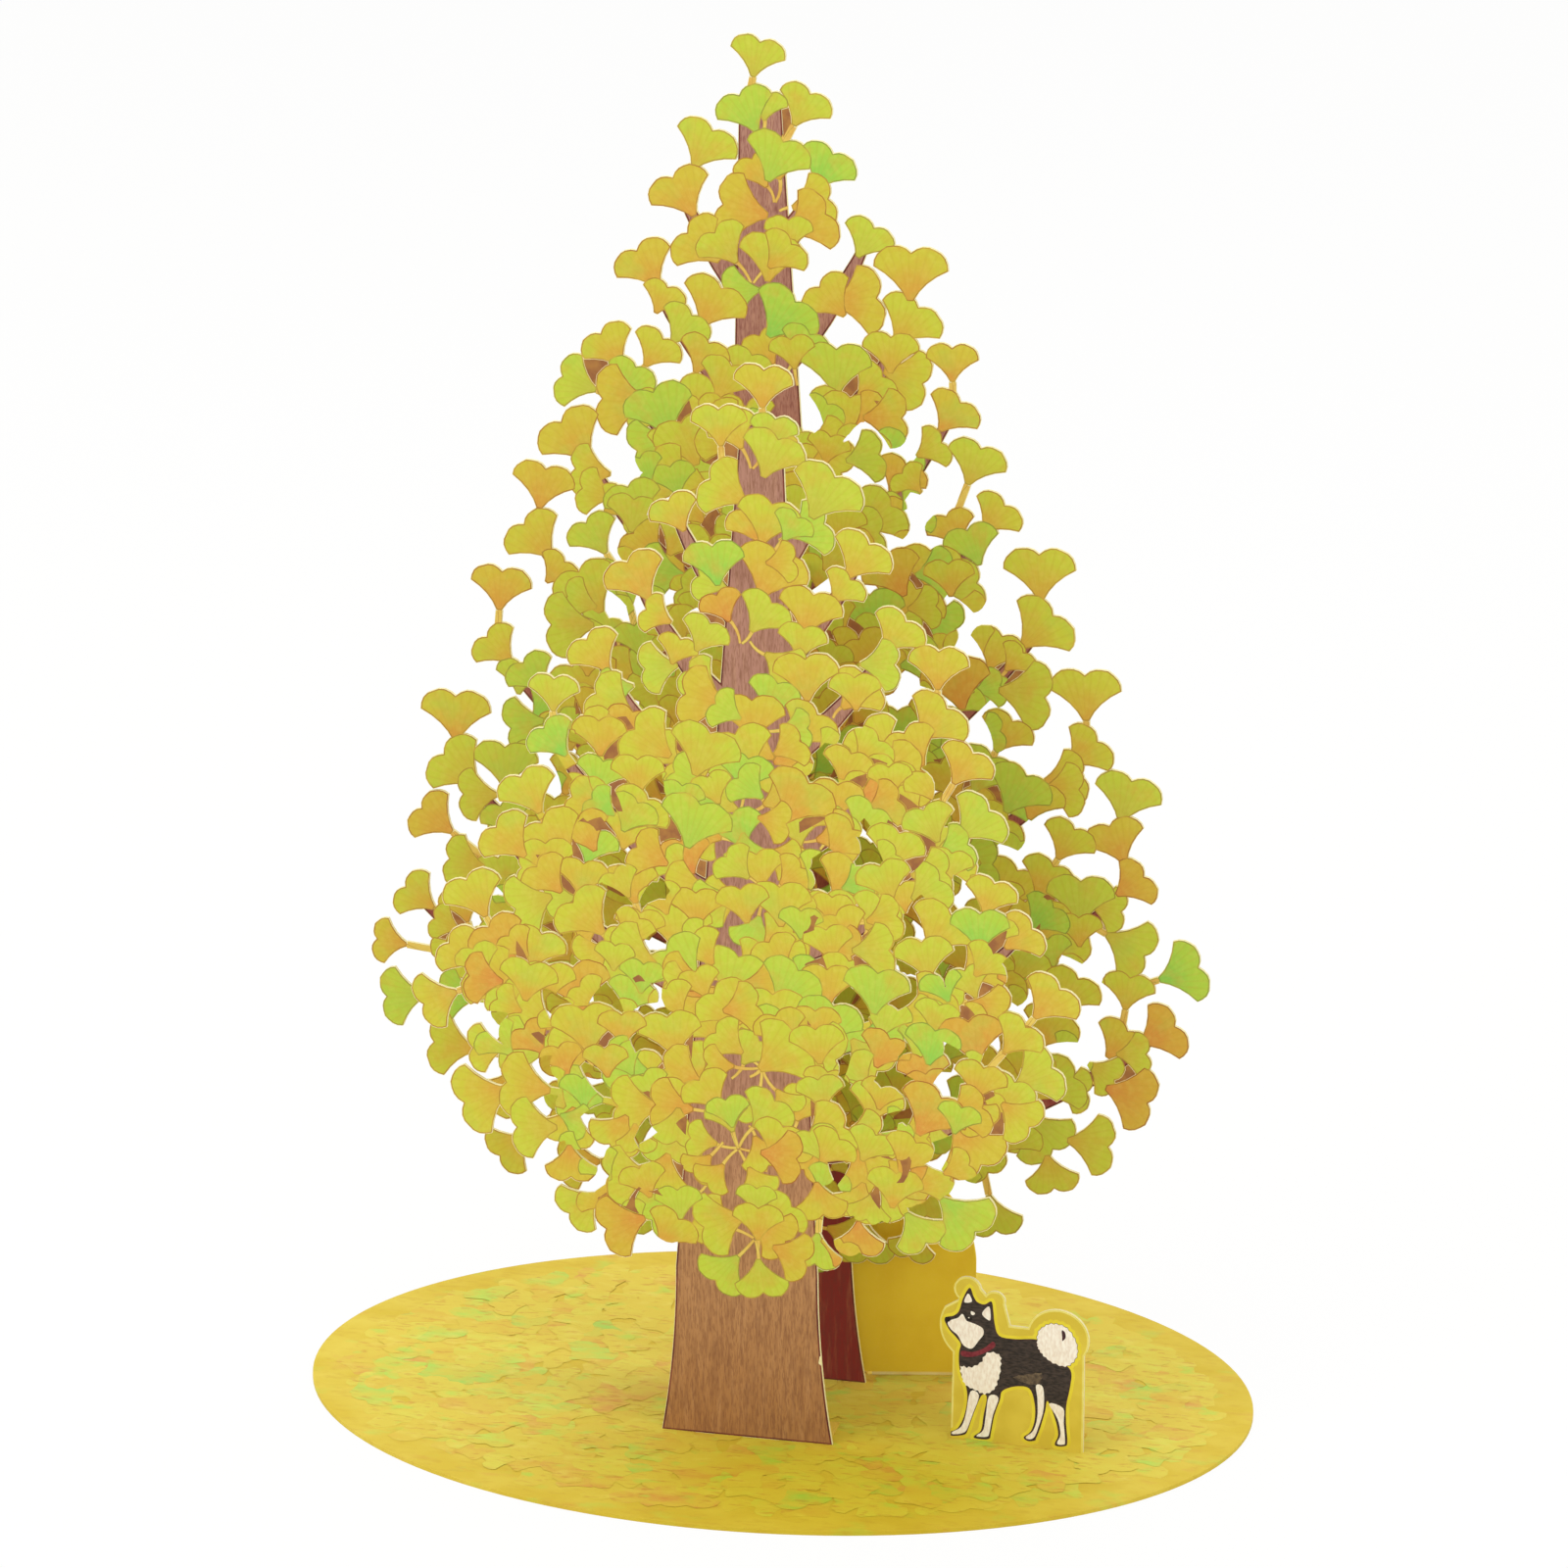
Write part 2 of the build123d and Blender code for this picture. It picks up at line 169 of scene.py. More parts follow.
@dataclass
class Tree:
    """The sizes and the growth of one die-cut tree, as in the model."""

    y: float
    height: float
    crown_half: float
    widest_z: float
    crown_bottom: float
    lean: float
    foot_half: float
    trunk_half: float
    branch_count: int
    rim: float

    def axis(self, z):
        """Where the middle of the trunk is at a height."""
        return self.lean * (z / self.height) ** 2

    def half_width(self, z):
        """Half the width of the crown at a height."""
        if not self.crown_bottom < z < self.height:
            return 0.0
        if z > self.widest_z:
            rise = (self.height - z) / (self.height - self.widest_z)
            return self.crown_half * rise**CROWN_POWER
        drop = (self.widest_z - z) / (self.widest_z - self.crown_bottom)
        return self.crown_half * sqrt(1 - drop**2)

    def trunk_half_at(self, z):
        """Half the width of the trunk at a height, tapering from the ground to the top of the crown."""
        return self.trunk_half + (TRUNK_TIP_HALF - self.trunk_half) * z / self.height

    def beside_trunk(self, spot):
        """How far a spot is from the middle of the trunk, as a share of the trunk's half width."""
        return abs(spot[0] - self.axis(spot[1])) / self.trunk_half_at(spot[1])

    def branches(self):
        """Root, middle and tip of each branch, from the lowest to the highest."""
        low = self.crown_bottom + BRANCH_START
        high = self.height - BRANCH_END
        found = []
        for k in range(self.branch_count):
            share = k / (self.branch_count - 1)
            side = 1 if k % 2 == 0 else -1
            root_z = low + share * (high - low)
            slope = LOW_SLOPE + share * (HIGH_SLOPE - LOW_SLOPE)
            reach = 0.0
            for _ in range(SETTLING_ROUNDS):
                edge = self.half_width(root_z + slope * reach) - BRANCH_INSET
                reach = (reach + max(LEAST_REACH, edge)) / 2
            tip_z = root_z + slope * reach
            root = (self.axis(root_z), root_z)
            tip = (self.axis(tip_z) + side * reach, tip_z)
            bow = BRANCH_BOW * reach
            middle = ((root[0] + tip[0]) / 2 + side * bow / 2, (root_z + tip_z) / 2 - bow)
            found.append((root, middle, tip))
        return found

    def wood(self):
        """Points along the trunk and the branches, where leaves can grow from."""
        points = []
        z = self.crown_bottom
        while z < self.height - TRUNK_STOP:
            points.append((self.axis(z), z))
            z += TRUNK_STEP
        for root, middle, tip in self.branches():
            for start, end in ((root, middle), (middle, tip)):
                for k in range(1, HALF_BRANCH_STEPS + 1):
                    share = k / HALF_BRANCH_STEPS
                    run, rise = end[0] - start[0], end[1] - start[1]
                    points.append((start[0] + share * run, start[1] + share * rise))
        return points

    def spots(self):
        """The middles of the leaves, closer together inside the crown than at its rim."""
        found = [(self.axis(self.height), self.height - LEAF_INSET)]
        found += [tip for _, _, tip in self.branches()]
        for k in range(1, LEAF_TRIES):
            x = ((0.5 + k * GOLDEN_X) % 1 - 0.5) * 2 * self.crown_half
            rise = (0.5 + k * GOLDEN_Z) % 1
            z = self.crown_bottom + rise * (self.height - self.crown_bottom)
            inside = min(self.half_width(z) - abs(x), z - self.crown_bottom)
            if inside < LEAF_INSET:
                continue
            fullness = min(1.0, inside / self.rim) ** 2 if z < self.height - OPEN_TOP else 0.0
            gap = OUTER_GAP + (INNER_GAP - OUTER_GAP) * fullness
            spot = (x + self.axis(z), z)
            if all(dist(spot, other) > gap for other in found):
                found.append(spot)
        return found

    def leaves(self):
        """Each leaf's size number, its middle and the point that its stem grows from."""
        carriers = self.wood()
        spots = self.spots()
        spots.sort(key=lambda spot: min(dist(spot, point) for point in carriers))
        found = []
        for k, spot in enumerate(spots):
            found.append((k % len(LEAF_WIDTHS), spot, self.carrier(spot, carriers)))
            carriers.append(spot)
        return found

    def carrier(self, spot, carriers):
        """The best point for a stem: near the leaf, below it and towards the trunk."""
        outwards = (spot[0] - self.axis(spot[1])) / self.crown_half
        hanging = spot[1] < self.crown_bottom + HANGING_HEIGHT
        upwards = HANGING_PULL if hanging else UPWARD_PULL
        size = hypot(outwards, upwards)

        def cost(point):
            run, rise = spot[0] - point[0], spot[1] - point[1]
            length = hypot(run, rise)
            along = (run * outwards + rise * upwards) / (length * size)
            return length * (1 + TURNING_COST * (1 - along))

        return min((p for p in carriers if dist(spot, p) > SHORTEST_STEM), key=cost)


REAR = Tree(
    y=3.0,
    height=173.5,
    crown_half=55.0,
    widest_z=57.0,
    crown_bottom=16.0,
    lean=-3.5,
    foot_half=10.4,
    trunk_half=8.4,
    branch_count=17,
    rim=21.0,
)
FRONT = Tree(
    y=-17.2,
    height=138.5,
    crown_half=43.5,
    widest_z=60.0,
    crown_bottom=21.0,
    lean=2.2,
    foot_half=10.9,
    trunk_half=9.0,
    branch_count=13,
    rim=12.0,
)


# Outlines of what is printed, in the plane of a sheet


def arc(start, through, end, cuts):
    """Points along the circle through three points, both ends included."""
    (ax, ay), (bx, by), (cx, cy) = start, through, end
    d = 2 * (ax * (by - cy) + bx * (cy - ay) + cx * (ay - by))
    a2, b2, c2 = ax * ax + ay * ay, bx * bx + by * by, cx * cx + cy * cy
    ux = (a2 * (by - cy) + b2 * (cy - ay) + c2 * (ay - by)) / d
    uy = (a2 * (cx - bx) + b2 * (ax - cx) + c2 * (bx - ax)) / d
    radius = dist((ux, uy), start)
    first = atan2(ay - uy, ax - ux)
    half = (atan2(by - uy, bx - ux) - first) % (2 * pi)
    turn = (atan2(cy - uy, cx - ux) - first) % (2 * pi)
    if half > turn:
        turn -= 2 * pi
    steps = [first + turn * k / cuts for k in range(cuts + 1)]
    return [(ux + radius * cos(a), uy + radius * sin(a)) for a in steps]


def leaf_outline(width, rng):
    """A ginkgo fan along X with its throat at the origin: hollow sides and two scalloped lobes."""
    tip = (SIDE_TIP[0] * width, SIDE_TIP[1] * width)
    bulge = (LOBE_BULGE[0] * width, LOBE_BULGE[1] * width)
    throat = (0.0, THROAT_HALF * width)
    hollow = (SIDE_HOLLOW[0] * width, SIDE_HOLLOW[1] * width)
    side = []
    for k in range(SIDE_CUTS):
        t = k / SIDE_CUTS
        a, b, c = (1 - t) ** 2, 2 * t * (1 - t), t * t
        side.append(tuple(a * p + b * q + c * r for p, q, r in zip(throat, hollow, tip)))
    halves = []
    for _ in ("upper", "lower"):
        scallops = rng.choice(SCALLOP_COUNTS)
        depth = rng.uniform(*SCALLOP_DEPTHS) * width
        waved = []
        for k, (x, y) in enumerate(arc(tip, bulge, (NOTCH_REACH * width, 0), LOBE_CUTS)):
            wave = depth * (abs(sin(pi * scallops * k / LOBE_CUTS)) - SCALLOP_SINK)
            grown = 1 + wave / hypot(x, y) if 0 < k < LOBE_CUTS else 1.0
            waved.append((x * grown, y * grown))
        halves.append(side + waved)
    upper, lower = halves
    return upper + [(x, -y) for x, y in reversed(lower[:-1])]


def anticlockwise(points):
    """The outline in the direction that the triangulation reads as its inside."""
    area = sum(a[0] * b[1] - b[0] * a[1] for a, b in zip(points, points[1:] + points[:1]))
    return points if area > 0 else points[::-1]


def inset(points, depth):
    """The outline moved inwards."""
    points = anticlockwise(points)
    n = len(points)
    moved = []
    for k in range(n):
        (ax, ay), (bx, by), (cx, cy) = points[k - 1], points[k], points[(k + 1) % n]
        one, two = hypot(bx - ax, by - ay), hypot(cx - bx, cy - by)
        nx = -(by - ay) / one - (cy - by) / two
        ny = (bx - ax) / one + (cx - bx) / two
        size = nx * nx + ny * ny
        factor = depth * min(2 / size, 2.0)
        moved.append((bx + nx * factor, by + ny * factor))
    return moved


def onwards(point, turn, reach):
    """The point that lies a reach away in a direction."""
    return point[0] + reach * cos(turn), point[1] + reach * sin(turn)


def placed(points, origin, turn):
    """The outline turned and moved to its place."""
    c, s = cos(turn), sin(turn)
    return [(origin[0] + c * x - s * y, origin[1] + s * x + c * y) for x, y in points]


def ribbon(line, halves):
    """An outline round a line of points, with half its width at each."""
    left, right = [], []
    for k, (point, half) in enumerate(zip(line, halves)):
        a, b = line[max(0, k - 1)], line[min(len(line) - 1, k + 1)]
        length = dist(a, b)
        nx, ny = -(b[1] - a[1]) / length, (b[0] - a[0]) / length
        left.append((point[0] + nx * half, point[1] + ny * half))
        right.append((point[0] - nx * half, point[1] - ny * half))
    return left + right[::-1]


def bent(start, middle, end, cuts):
    """Points along a parabola through three points."""
    found = []
    for k in range(cuts + 1):
        t = k / cuts
        a, b, c = (1 - t) * (1 - 2 * t), 4 * t * (1 - t), t * (2 * t - 1)
        found.append(tuple(a * p + b * q + c * r for p, q, r in zip(start, middle, end)))
    return found


# A printed sheet: every printed shape is an outline with a layer, and the later one covers the earlier


@dataclass
class Shape:
    """One printed shape: its outline, what it is printed as, and its own frame for a pattern."""

    outline: list
    ink: int
    origin: tuple = (0.0, 0.0)
    turn: float = 0.0
    size: float = 1.0
    tint: tuple = (0.5, 0.5, 0.5)


@dataclass
class Sheet:
    """A sheet's mesh, with the ink of each face and the printed shape that it belongs to."""

    points: list
    faces: list
    inks: list
    owners: list


NOTHING = -1  # what a triangle with no card is labelled, and a face with no print


def edges_of(triangle):
    """The directed edges that have the triangle on their left."""
    a, b, c = triangle
    return (a, b), (b, c), (c, a)


def edge_sides(triangles, labels):
    """The label on the left of each directed edge."""
    return {edge: label for triangle, label in zip(triangles, labels) for edge in edges_of(triangle)}


def divided(points, lines, outlines, nearest):
    """The whole sheet in triangles that keep the lines and outlines, where nearer points are one."""
    return delaunay_2d_cdt(points, lines, outlines, 0, nearest, True)


def sided(triangles, walls):
    """Each triangle's label, from a wall beside it or across the edges that aren't walls."""
    beside = edge_sides(triangles, range(len(triangles)))
    labels = []
    for triangle in triangles:
        labels.append(next((walls[edge] for edge in edges_of(triangle) if edge in walls), None))
    queue = [t for t, label in enumerate(labels) if label is not None]
    while queue:
        t = queue.pop()
        for a, b in edges_of(triangles[t]):
            other = beside.get((b, a))
            if other is not None and (b, a) not in walls and labels[other] is None:
                labels[other] = labels[t]
                queue.append(other)
    return labels


def air_gaps(corners, triangles, labels):
    """The groups of triangles that no card covers, each with its area, or none where it is open."""
    beside = edge_sides(triangles, range(len(triangles)))
    seen = set()
    for first, label in enumerate(labels):
        if label != NOTHING or first in seen:
            continue
        seen.add(first)
        group, area, closed = [first], 0.0, True
        for t in group:
            a, b, c = triangles[t]
            area += (corners[b] - corners[a]).cross(corners[c] - corners[a]) / 2
            for start, end in edges_of(triangles[t]):
                other = beside.get((end, start))
                if other is None:
                    closed = False
                elif labels[other] == NOTHING and other not in seen:
                    seen.add(other)
                    group.append(other)
        yield group, area if closed else None


def flat_print(shapes, cards, smallest_opening, filler):
    """Triangles of the sheet with the uppermost shape on each, where one of the first shapes is card."""
    points, outlines = [], []
    for shape in shapes:
        outline = anticlockwise(shape.outline) if shape.outline else []
        outlines.append(list(range(len(points), len(points) + len(outline))))
        points += [Vector(p) for p in outline]
    corners, _, triangles, _, _, owners = divided(points, [], outlines, 1e-5)
    labels = [max(owner) if owner and min(owner) < cards else NOTHING for owner in owners]
    for group, area in air_gaps(corners, triangles, labels):
        if area is not None and area < smallest_opening:
            for t in group:
                labels[t] = filler
    return plainer_print(corners, triangles, labels)


def plainer_print(corners, triangles, labels):
    """The same print, divided again along the lines that show and no others."""
    sides = edge_sides(triangles, labels)
    lines = [edge for edge, label in sides.items() if edge < edge[::-1] or edge[::-1] not in sides]
    lines = [edge for edge in lines if sides[edge] != sides.get(edge[::-1], NOTHING)]
    used = sorted({k for edge in lines for k in edge})
    place = {k: i for i, k in enumerate(used)}
    spots = [corners[k] for k in used]
    drawn = [(place[a], place[b]) for a, b in lines]
    corners, borders, triangles, _, from_lines, _ = divided(spots, drawn, [], 1e-6)
    walls = {}
    for (a, b), origins in zip(borders, from_lines):
        if origins:
            start, end = lines[origins[0]]
            left, right = sides[start, end], sides.get((end, start), NOTHING)
            run = spots[place[end]] - spots[place[start]]
            if run.dot(corners[b] - corners[a]) < 0:
                left, right = right, left
            walls[a, b], walls[b, a] = left, right
    labels = [NOTHING if label is None else label for label in sided(triangles, walls)]
    return corners, triangles, labels


def plain_side(points, rim):
    """The fewest triangles inside the sheet's rim, whose edges keep the card on their left."""
    used = sorted({k for edge in rim for k in edge})
    place = {k: i for i, k in enumerate(used)}
    lines = [(place[a], place[b]) for a, b in rim]
    spots = [Vector(points[k][:2]) for k in used]
    triangles = divided(spots, lines, [], 1e-7)[2]
    walls = {(a, b): True for a, b in lines}
    walls.update({(b, a): False for a, b in lines})
    labels = sided(triangles, walls)
    return [tuple(used[k] for k in triangle) for triangle, label in zip(triangles, labels) if label]


def flat_sheet(shapes, cards, edge_ink, back_ink, smallest_opening=0.0, filler=0):
    """A printed sheet that lies flat, with its print in front, a plain back and a cut edge."""
    corners, triangles, labels = flat_print(shapes, cards, smallest_opening, filler)
    kept = [(triangle, label) for triangle, label in zip(triangles, labels) if label != NOTHING]
    used = sorted({k for triangle, _ in kept for k in triangle})
    place = {k: i for i, k in enumerate(used)}
    points = [(corners[k].x, corners[k].y, 0.0) for k in used]
    faces = [tuple(place[k] for k in triangle) for triangle, _ in kept]
    around = edge_sides(faces, [True] * len(faces))
    rim = [(a, b) for a, b in around if (b, a) not in around]
    backs = plain_side(points, rim)

    # The back has the rim's points alone
    behind = {k: len(points) + i for i, k in enumerate(sorted({k for edge in rim for k in edge}))}
    points += [(points[k][0], points[k][1], CARD) for k in behind]
    faces += [(behind[c], behind[b], behind[a]) for a, b, c in backs]
    faces += [(b, a, behind[a], behind[b]) for a, b in rim]
    inks = [shapes[label].ink for _, label in kept] + [back_ink] * len(backs) + [edge_ink] * len(rim)
    owners = [label for _, label in kept] + [NOTHING] * (len(backs) + len(rim))
    return Sheet(points, faces, inks, owners)


def add_foot(sheet, start, end, floor, depth, ink):
    """The strip folded back from the bottom of a sheet, glued flat to the oval."""
    first = len(sheet.points)
    for x in (start, end):
        section = ((floor, CARD), (floor, depth), (floor + CARD, depth), (floor + CARD, CARD))
        sheet.points += [(x, *corner) for corner in section]
    for face in ((0, 1, 2, 3), (7, 6, 5, 4), (1, 0, 4, 5), (2, 1, 5, 6), (3, 2, 6, 7), (0, 3, 7, 4)):
        sheet.faces.append(tuple(first + k for k in face))
        sheet.inks.append(ink)
        sheet.owners.append(NOTHING)


def added(name, data):
    """A new object in the scene."""
    made = bpy.data.objects.new(name, data)
    bpy.context.scene.collection.objects.link(made)
    return made


def sheet_piece(name, sheet, shapes, materials, stand):
    """The sheet's mesh where it stands, with each printed shape's own frame and tint on its faces."""
    mesh = bpy.data.meshes.new(name)
    mesh.from_pydata([[value * MM for value in stand(*point)] for point in sheet.points], [], sheet.faces)
    for material in materials:
        mesh.materials.append(material)
    mesh.polygons.foreach_set("material_index", sheet.inks)
    own, tint = [], []
    for face, owner in zip(sheet.faces, sheet.owners):
        shape = Shape([], 0) if owner == NOTHING else shapes[owner]
        c, s = cos(shape.turn), sin(shape.turn)
        for k in face:
            dx, dz = sheet.points[k][0] - shape.origin[0], sheet.points[k][1] - shape.origin[1]
            own += [(c * dx + s * dz) / shape.size, (c * dz - s * dx) / shape.size]
            tint += [*shape.tint, 1.0]
    mesh.uv_layers.new(name="own")
    mesh.color_attributes.new("tint", "FLOAT_COLOR", "CORNER")
    mesh.uv_layers["own"].data.foreach_set("uv", own)
    mesh.color_attributes["tint"].data.foreach_set("color", tint)
    return added(name, mesh)


# Sizes and ramps of the inks, each stop a share and an sRGB colour

TOOTH = 0.25 * MM  # fibres of the card, drawn coarser than real ones so that they show
TOOTH_DEPTH = 0.02 * MM
LEAF_BLOT = 2.2 * MM
VEIN_ROOT = 0.12  # how far behind the throat the veins meet, as a share of the leaf's width
VEIN_TURNS = 40.0  # how closely they fan out
PAINTED_SHADOW_SPOT = (14 * MM, -30 * MM, 0)  # the middle of the trees' shadow, painted on the oval in deep ochre
PAINTED_SHADOW_FADE = (1 / (46 * MM), 1 / (34 * MM), 0)
MUSTARD_RISE = 32 * MM
LEAF_RIM = (
    (0.0, "aecb42"), (0.12, "bccb3e"), (0.4, "c6c63a"), (0.65, "cdb83a"), (0.88, "d2a43c"), (1.0, "d89644"),
)
LEAF_THROAT = ((0.0, "8ac74c"), (0.12, "b4c342"), (0.35, "d0a83c"), (0.7, "d4963e"), (1.0, "d27e40"))
CONTOUR = ((0.0, "8c9a3a"), (0.35, "b08c34"), (0.8, "a86c2e"))
FRONT_BARK = ((0.0, "a97746"), (0.2, "b48558"), (0.4, "aa7a66"), (1.0, "ae7f6c"))
# The rear bark's dark maroon foot is painted shade, where the front tree shades the lower rear trunk
REAR_BARK_AND_PAINTED_SHADE = ((0.0, "8a3030"), (0.2, "8a3030"), (0.45, "965444"), (0.8, "ac7c68"), (1.0, "b08270"))
FALLEN = (
    (0.0, "a6cf5c"), (0.1, "bdd55a"), (0.2, "d8d356"), (0.6, "dcc84e"), (0.86, "d8b546"), (1.0, "d99c55"),
)
MUSTARD = ((0.0, "f6eab0"), (0.030, "f6eab0"), (0.033, "f0d23a"), (1.0, "eed83c"))  # from a pale cut line up


# Colours and materials


def colour(code):
    """An sRGB hex value as linear red, green, blue and alpha."""
    found = []
    for k in (0, 2, 4):
        value = int(code[k : k + 2], 16) / 255
        found.append(value / 12.92 if value <= 0.04045 else ((value + 0.055) / 1.055) ** 2.4)
    return (*found, 1.0)


def node(tree, kind, inputs=None, out=0, stops=(), **settings):
    """Add a node with its settings, its ramp's stops and its inputs, and give one of its outputs."""
    made = tree.nodes.new(kind)
    for key, value in settings.items():
        setattr(made, key, value)
    for key, value in (inputs or {}).items():
        if isinstance(value, bpy.types.NodeSocket):
            tree.links.new(value, made.inputs[key])
        else:
            made.inputs[key].default_value = value
    for k, (place, code) in enumerate(stops):
        elements = made.color_ramp.elements
        element = elements[k] if k < len(elements) else elements.new(place)
        element.position = place
        element.color = colour(code)
    return made.outputs[out]


def wash(tree, where, ground, tone, grain, low, high, strength, stretch=(1, 1, 1)):
    """Lay a tone over the ground in blots some millimetres wide, fading in from low to high noise."""
    scale = tuple(1 / (grain * MM * s) for s in stretch)
    scaled = node(tree, "ShaderNodeMapping", {"Vector": where, "Scale": scale})
    blots = node(tree, "ShaderNodeTexNoise", {"Vector": scaled, "Scale": 1.0, "Detail": 4.0})
    share = node(
        tree,
        "ShaderNodeMapRange",
        {"Value": blots, "From Min": low, "From Max": high, "To Max": strength},
    )
    return node(tree, "ShaderNodeMix", {0: share, 6: ground, 7: colour(tone)}, 2, data_type="RGBA")


def on_card(name, paint, roughness=0.8):
    """A matt material whose colour is painted on the fine tooth of uncoated card."""
    material = bpy.data.materials.new(name)
    material.use_nodes = True
    tree = material.node_tree
    shader = tree.nodes["Principled BSDF"]
    shader.inputs["Roughness"].default_value = roughness
    shader.inputs["Specular IOR Level"].default_value = 0.3
    where = node(tree, "ShaderNodeTexCoord", out="Object")
    fibres = node(tree, "ShaderNodeTexNoise", {"Vector": where, "Scale": 1 / TOOTH, "Detail": 2.0})
    bump = node(tree, "ShaderNodeBump", {"Height": fibres, "Strength": 0.25, "Distance": TOOTH_DEPTH})
    tree.links.new(bump, shader.inputs["Normal"])
    tree.links.new(paint(tree, where), shader.inputs["Base Color"])
    return material


def hue_of_shape(tree):
    """The hue that each printed shape carries, from green at 0 to golden at 1."""
    tint = node(tree, "ShaderNodeAttribute", attribute_name="tint", out="Color")
    return node(tree, "ShaderNodeSeparateColor", {0: tint})


def veined(tree, own, ground):
    """The ground with faint brown veins that fan out from the leaf's throat."""
    across = node(tree, "ShaderNodeSeparateXYZ", {0: own}, "Y")
    forwards = node(tree, "ShaderNodeSeparateXYZ", {0: own}, "X")
    ahead = node(tree, "ShaderNodeMath", {0: forwards, 1: VEIN_ROOT}, operation="ADD")
    angle = node(tree, "ShaderNodeMath", {0: across, 1: ahead}, operation="ARCTAN2")
    fan = node(tree, "ShaderNodeMath", {0: angle, 1: VEIN_TURNS}, operation="MULTIPLY")
    wave = node(tree, "ShaderNodeMath", {0: fan}, operation="SINE")
    share = node(
        tree,
        "ShaderNodeMapRange",
        {"Value": wave, "From Min": 0.4, "From Max": 1.0, "To Max": 0.13},
    )
    return node(tree, "ShaderNodeMix", {0: share, 6: ground, 7: colour("b48a2c")}, 2, data_type="RGBA")


def leaf_paint(tree, where):
    """Watercolour leaf: lime or gold at the rim, amber at the throat, with faint veins that fan out."""
    own = node(tree, "ShaderNodeUVMap", uv_map="own")
    hue = hue_of_shape(tree)
    rim = node(tree, "ShaderNodeValToRGB", {0: hue}, stops=LEAF_RIM)
    throat = node(tree, "ShaderNodeValToRGB", {0: hue}, stops=LEAF_THROAT)
    reach = node(tree, "ShaderNodeVectorMath", {0: own}, "Value", operation="LENGTH")
    blots = node(tree, "ShaderNodeTexNoise", {"Vector": where, "Scale": 1 / LEAF_BLOT, "Detail": 3.0})
    ragged = node(tree, "ShaderNodeMath", {0: blots, 1: 0.4, 2: reach}, operation="MULTIPLY_ADD")
    share = node(tree, "ShaderNodeMapRange", {"Value": ragged, "From Min": 0.28, "From Max": 0.82})
    ground = node(tree, "ShaderNodeMix", {0: share, 6: throat, 7: rim}, 2, data_type="RGBA")
    ground = veined(tree, own, ground)
    ground = wash(tree, where, ground, "a0cc4c", 5.0, 0.56, 0.75, 0.35)
    ground = wash(tree, where, ground, "d49c3c", 3.2, 0.52, 0.72, 0.4)
    return wash(tree, where, ground, "e2da66", 0.7, 0.45, 0.75, 0.2)


def contour_paint(tree, where):
    """The drawn line round a leaf, olive on green leaves and brown on golden ones."""
    line = node(tree, "ShaderNodeValToRGB", {0: hue_of_shape(tree)}, stops=CONTOUR)
    return wash(tree, where, line, "d2b544", 1.6, 0.45, 0.7, 0.7)


def stem_paint(tree, where):
    """Pale amber stems over the bark."""
    return wash(tree, where, colour("dfc25c"), "cf9644", 2.0, 0.4, 0.65, 0.6)


def shade_paint(tree, where):
    """Brown shade between leaves that touch, where the card isn't cut."""
    return wash(tree, where, colour("a9763c"), "8c5638", 1.5, 0.4, 0.6, 0.7)


def bark_paint(stops, top, streak):
    """Bark that changes from the foot to the tip, with the dark and pale grain of wood along it."""

    def paint(tree, where):
        height = node(tree, "ShaderNodeSeparateXYZ", {0: where}, "Z")
        rise = node(tree, "ShaderNodeMapRange", {"Value": height, "From Max": top * MM})
        ground = node(tree, "ShaderNodeValToRGB", {0: rise}, stops=stops)
        ground = wash(tree, where, ground, "d6a877", 0.7, 0.5, 0.8, 0.25, (1, 1, 8))
        ground = wash(tree, where, ground, streak, 0.45, 0.46, 0.64, 0.38, (1, 1, 9))
        return wash(tree, where, ground, streak, 0.15, 0.48, 0.62, 0.5, (1, 1, 7))

    return paint


def bark_line_paint(tree, where):
    """The dark line round the trunk and the branches."""
    return wash(tree, where, colour("5c2a26"), "8a4a34", 3.0, 0.4, 0.65, 0.8)


def cut_paint(tree, where):
    """The cut through the card: bare cream fibres with the marks of the blade."""
    return wash(tree, where, colour("f3ebba"), "dccf92", 0.12, 0.4, 0.7, 0.8, (1, 1, 4))


def back_paint(tree, where):
    """The unprinted side: dyed yellow card, a little cloudy."""
    ground = wash(tree, where, colour("dcbc48"), "cfab38", 9.0, 0.4, 0.65, 0.8)
    return wash(tree, where, ground, "e8cf6a", 0.3, 0.5, 0.75, 0.35)


def with_painted_tree_shadow(tree, where, ground):
    """The oval's ink with the trees' shadow painted on it: a deep ochre in the middle of its front, fading
    outwards.
    """
    aside = node(tree, "ShaderNodeVectorMath", {0: where, 1: PAINTED_SHADOW_SPOT}, operation="SUBTRACT")
    scaled = node(tree, "ShaderNodeVectorMath", {0: aside, 1: PAINTED_SHADOW_FADE}, operation="MULTIPLY")
    far = node(tree, "ShaderNodeVectorMath", {0: scaled}, "Value", operation="LENGTH")
    share = node(tree, "ShaderNodeMapRange", {"Value": far, "From Min": 0.3, "To Min": 1.0, "To Max": 0.0})
    sockets = {0: share, 6: ground, 7: colour("e9e48c")}
    return node(tree, "ShaderNodeMix", sockets, 2, data_type="RGBA", blend_type="MULTIPLY")


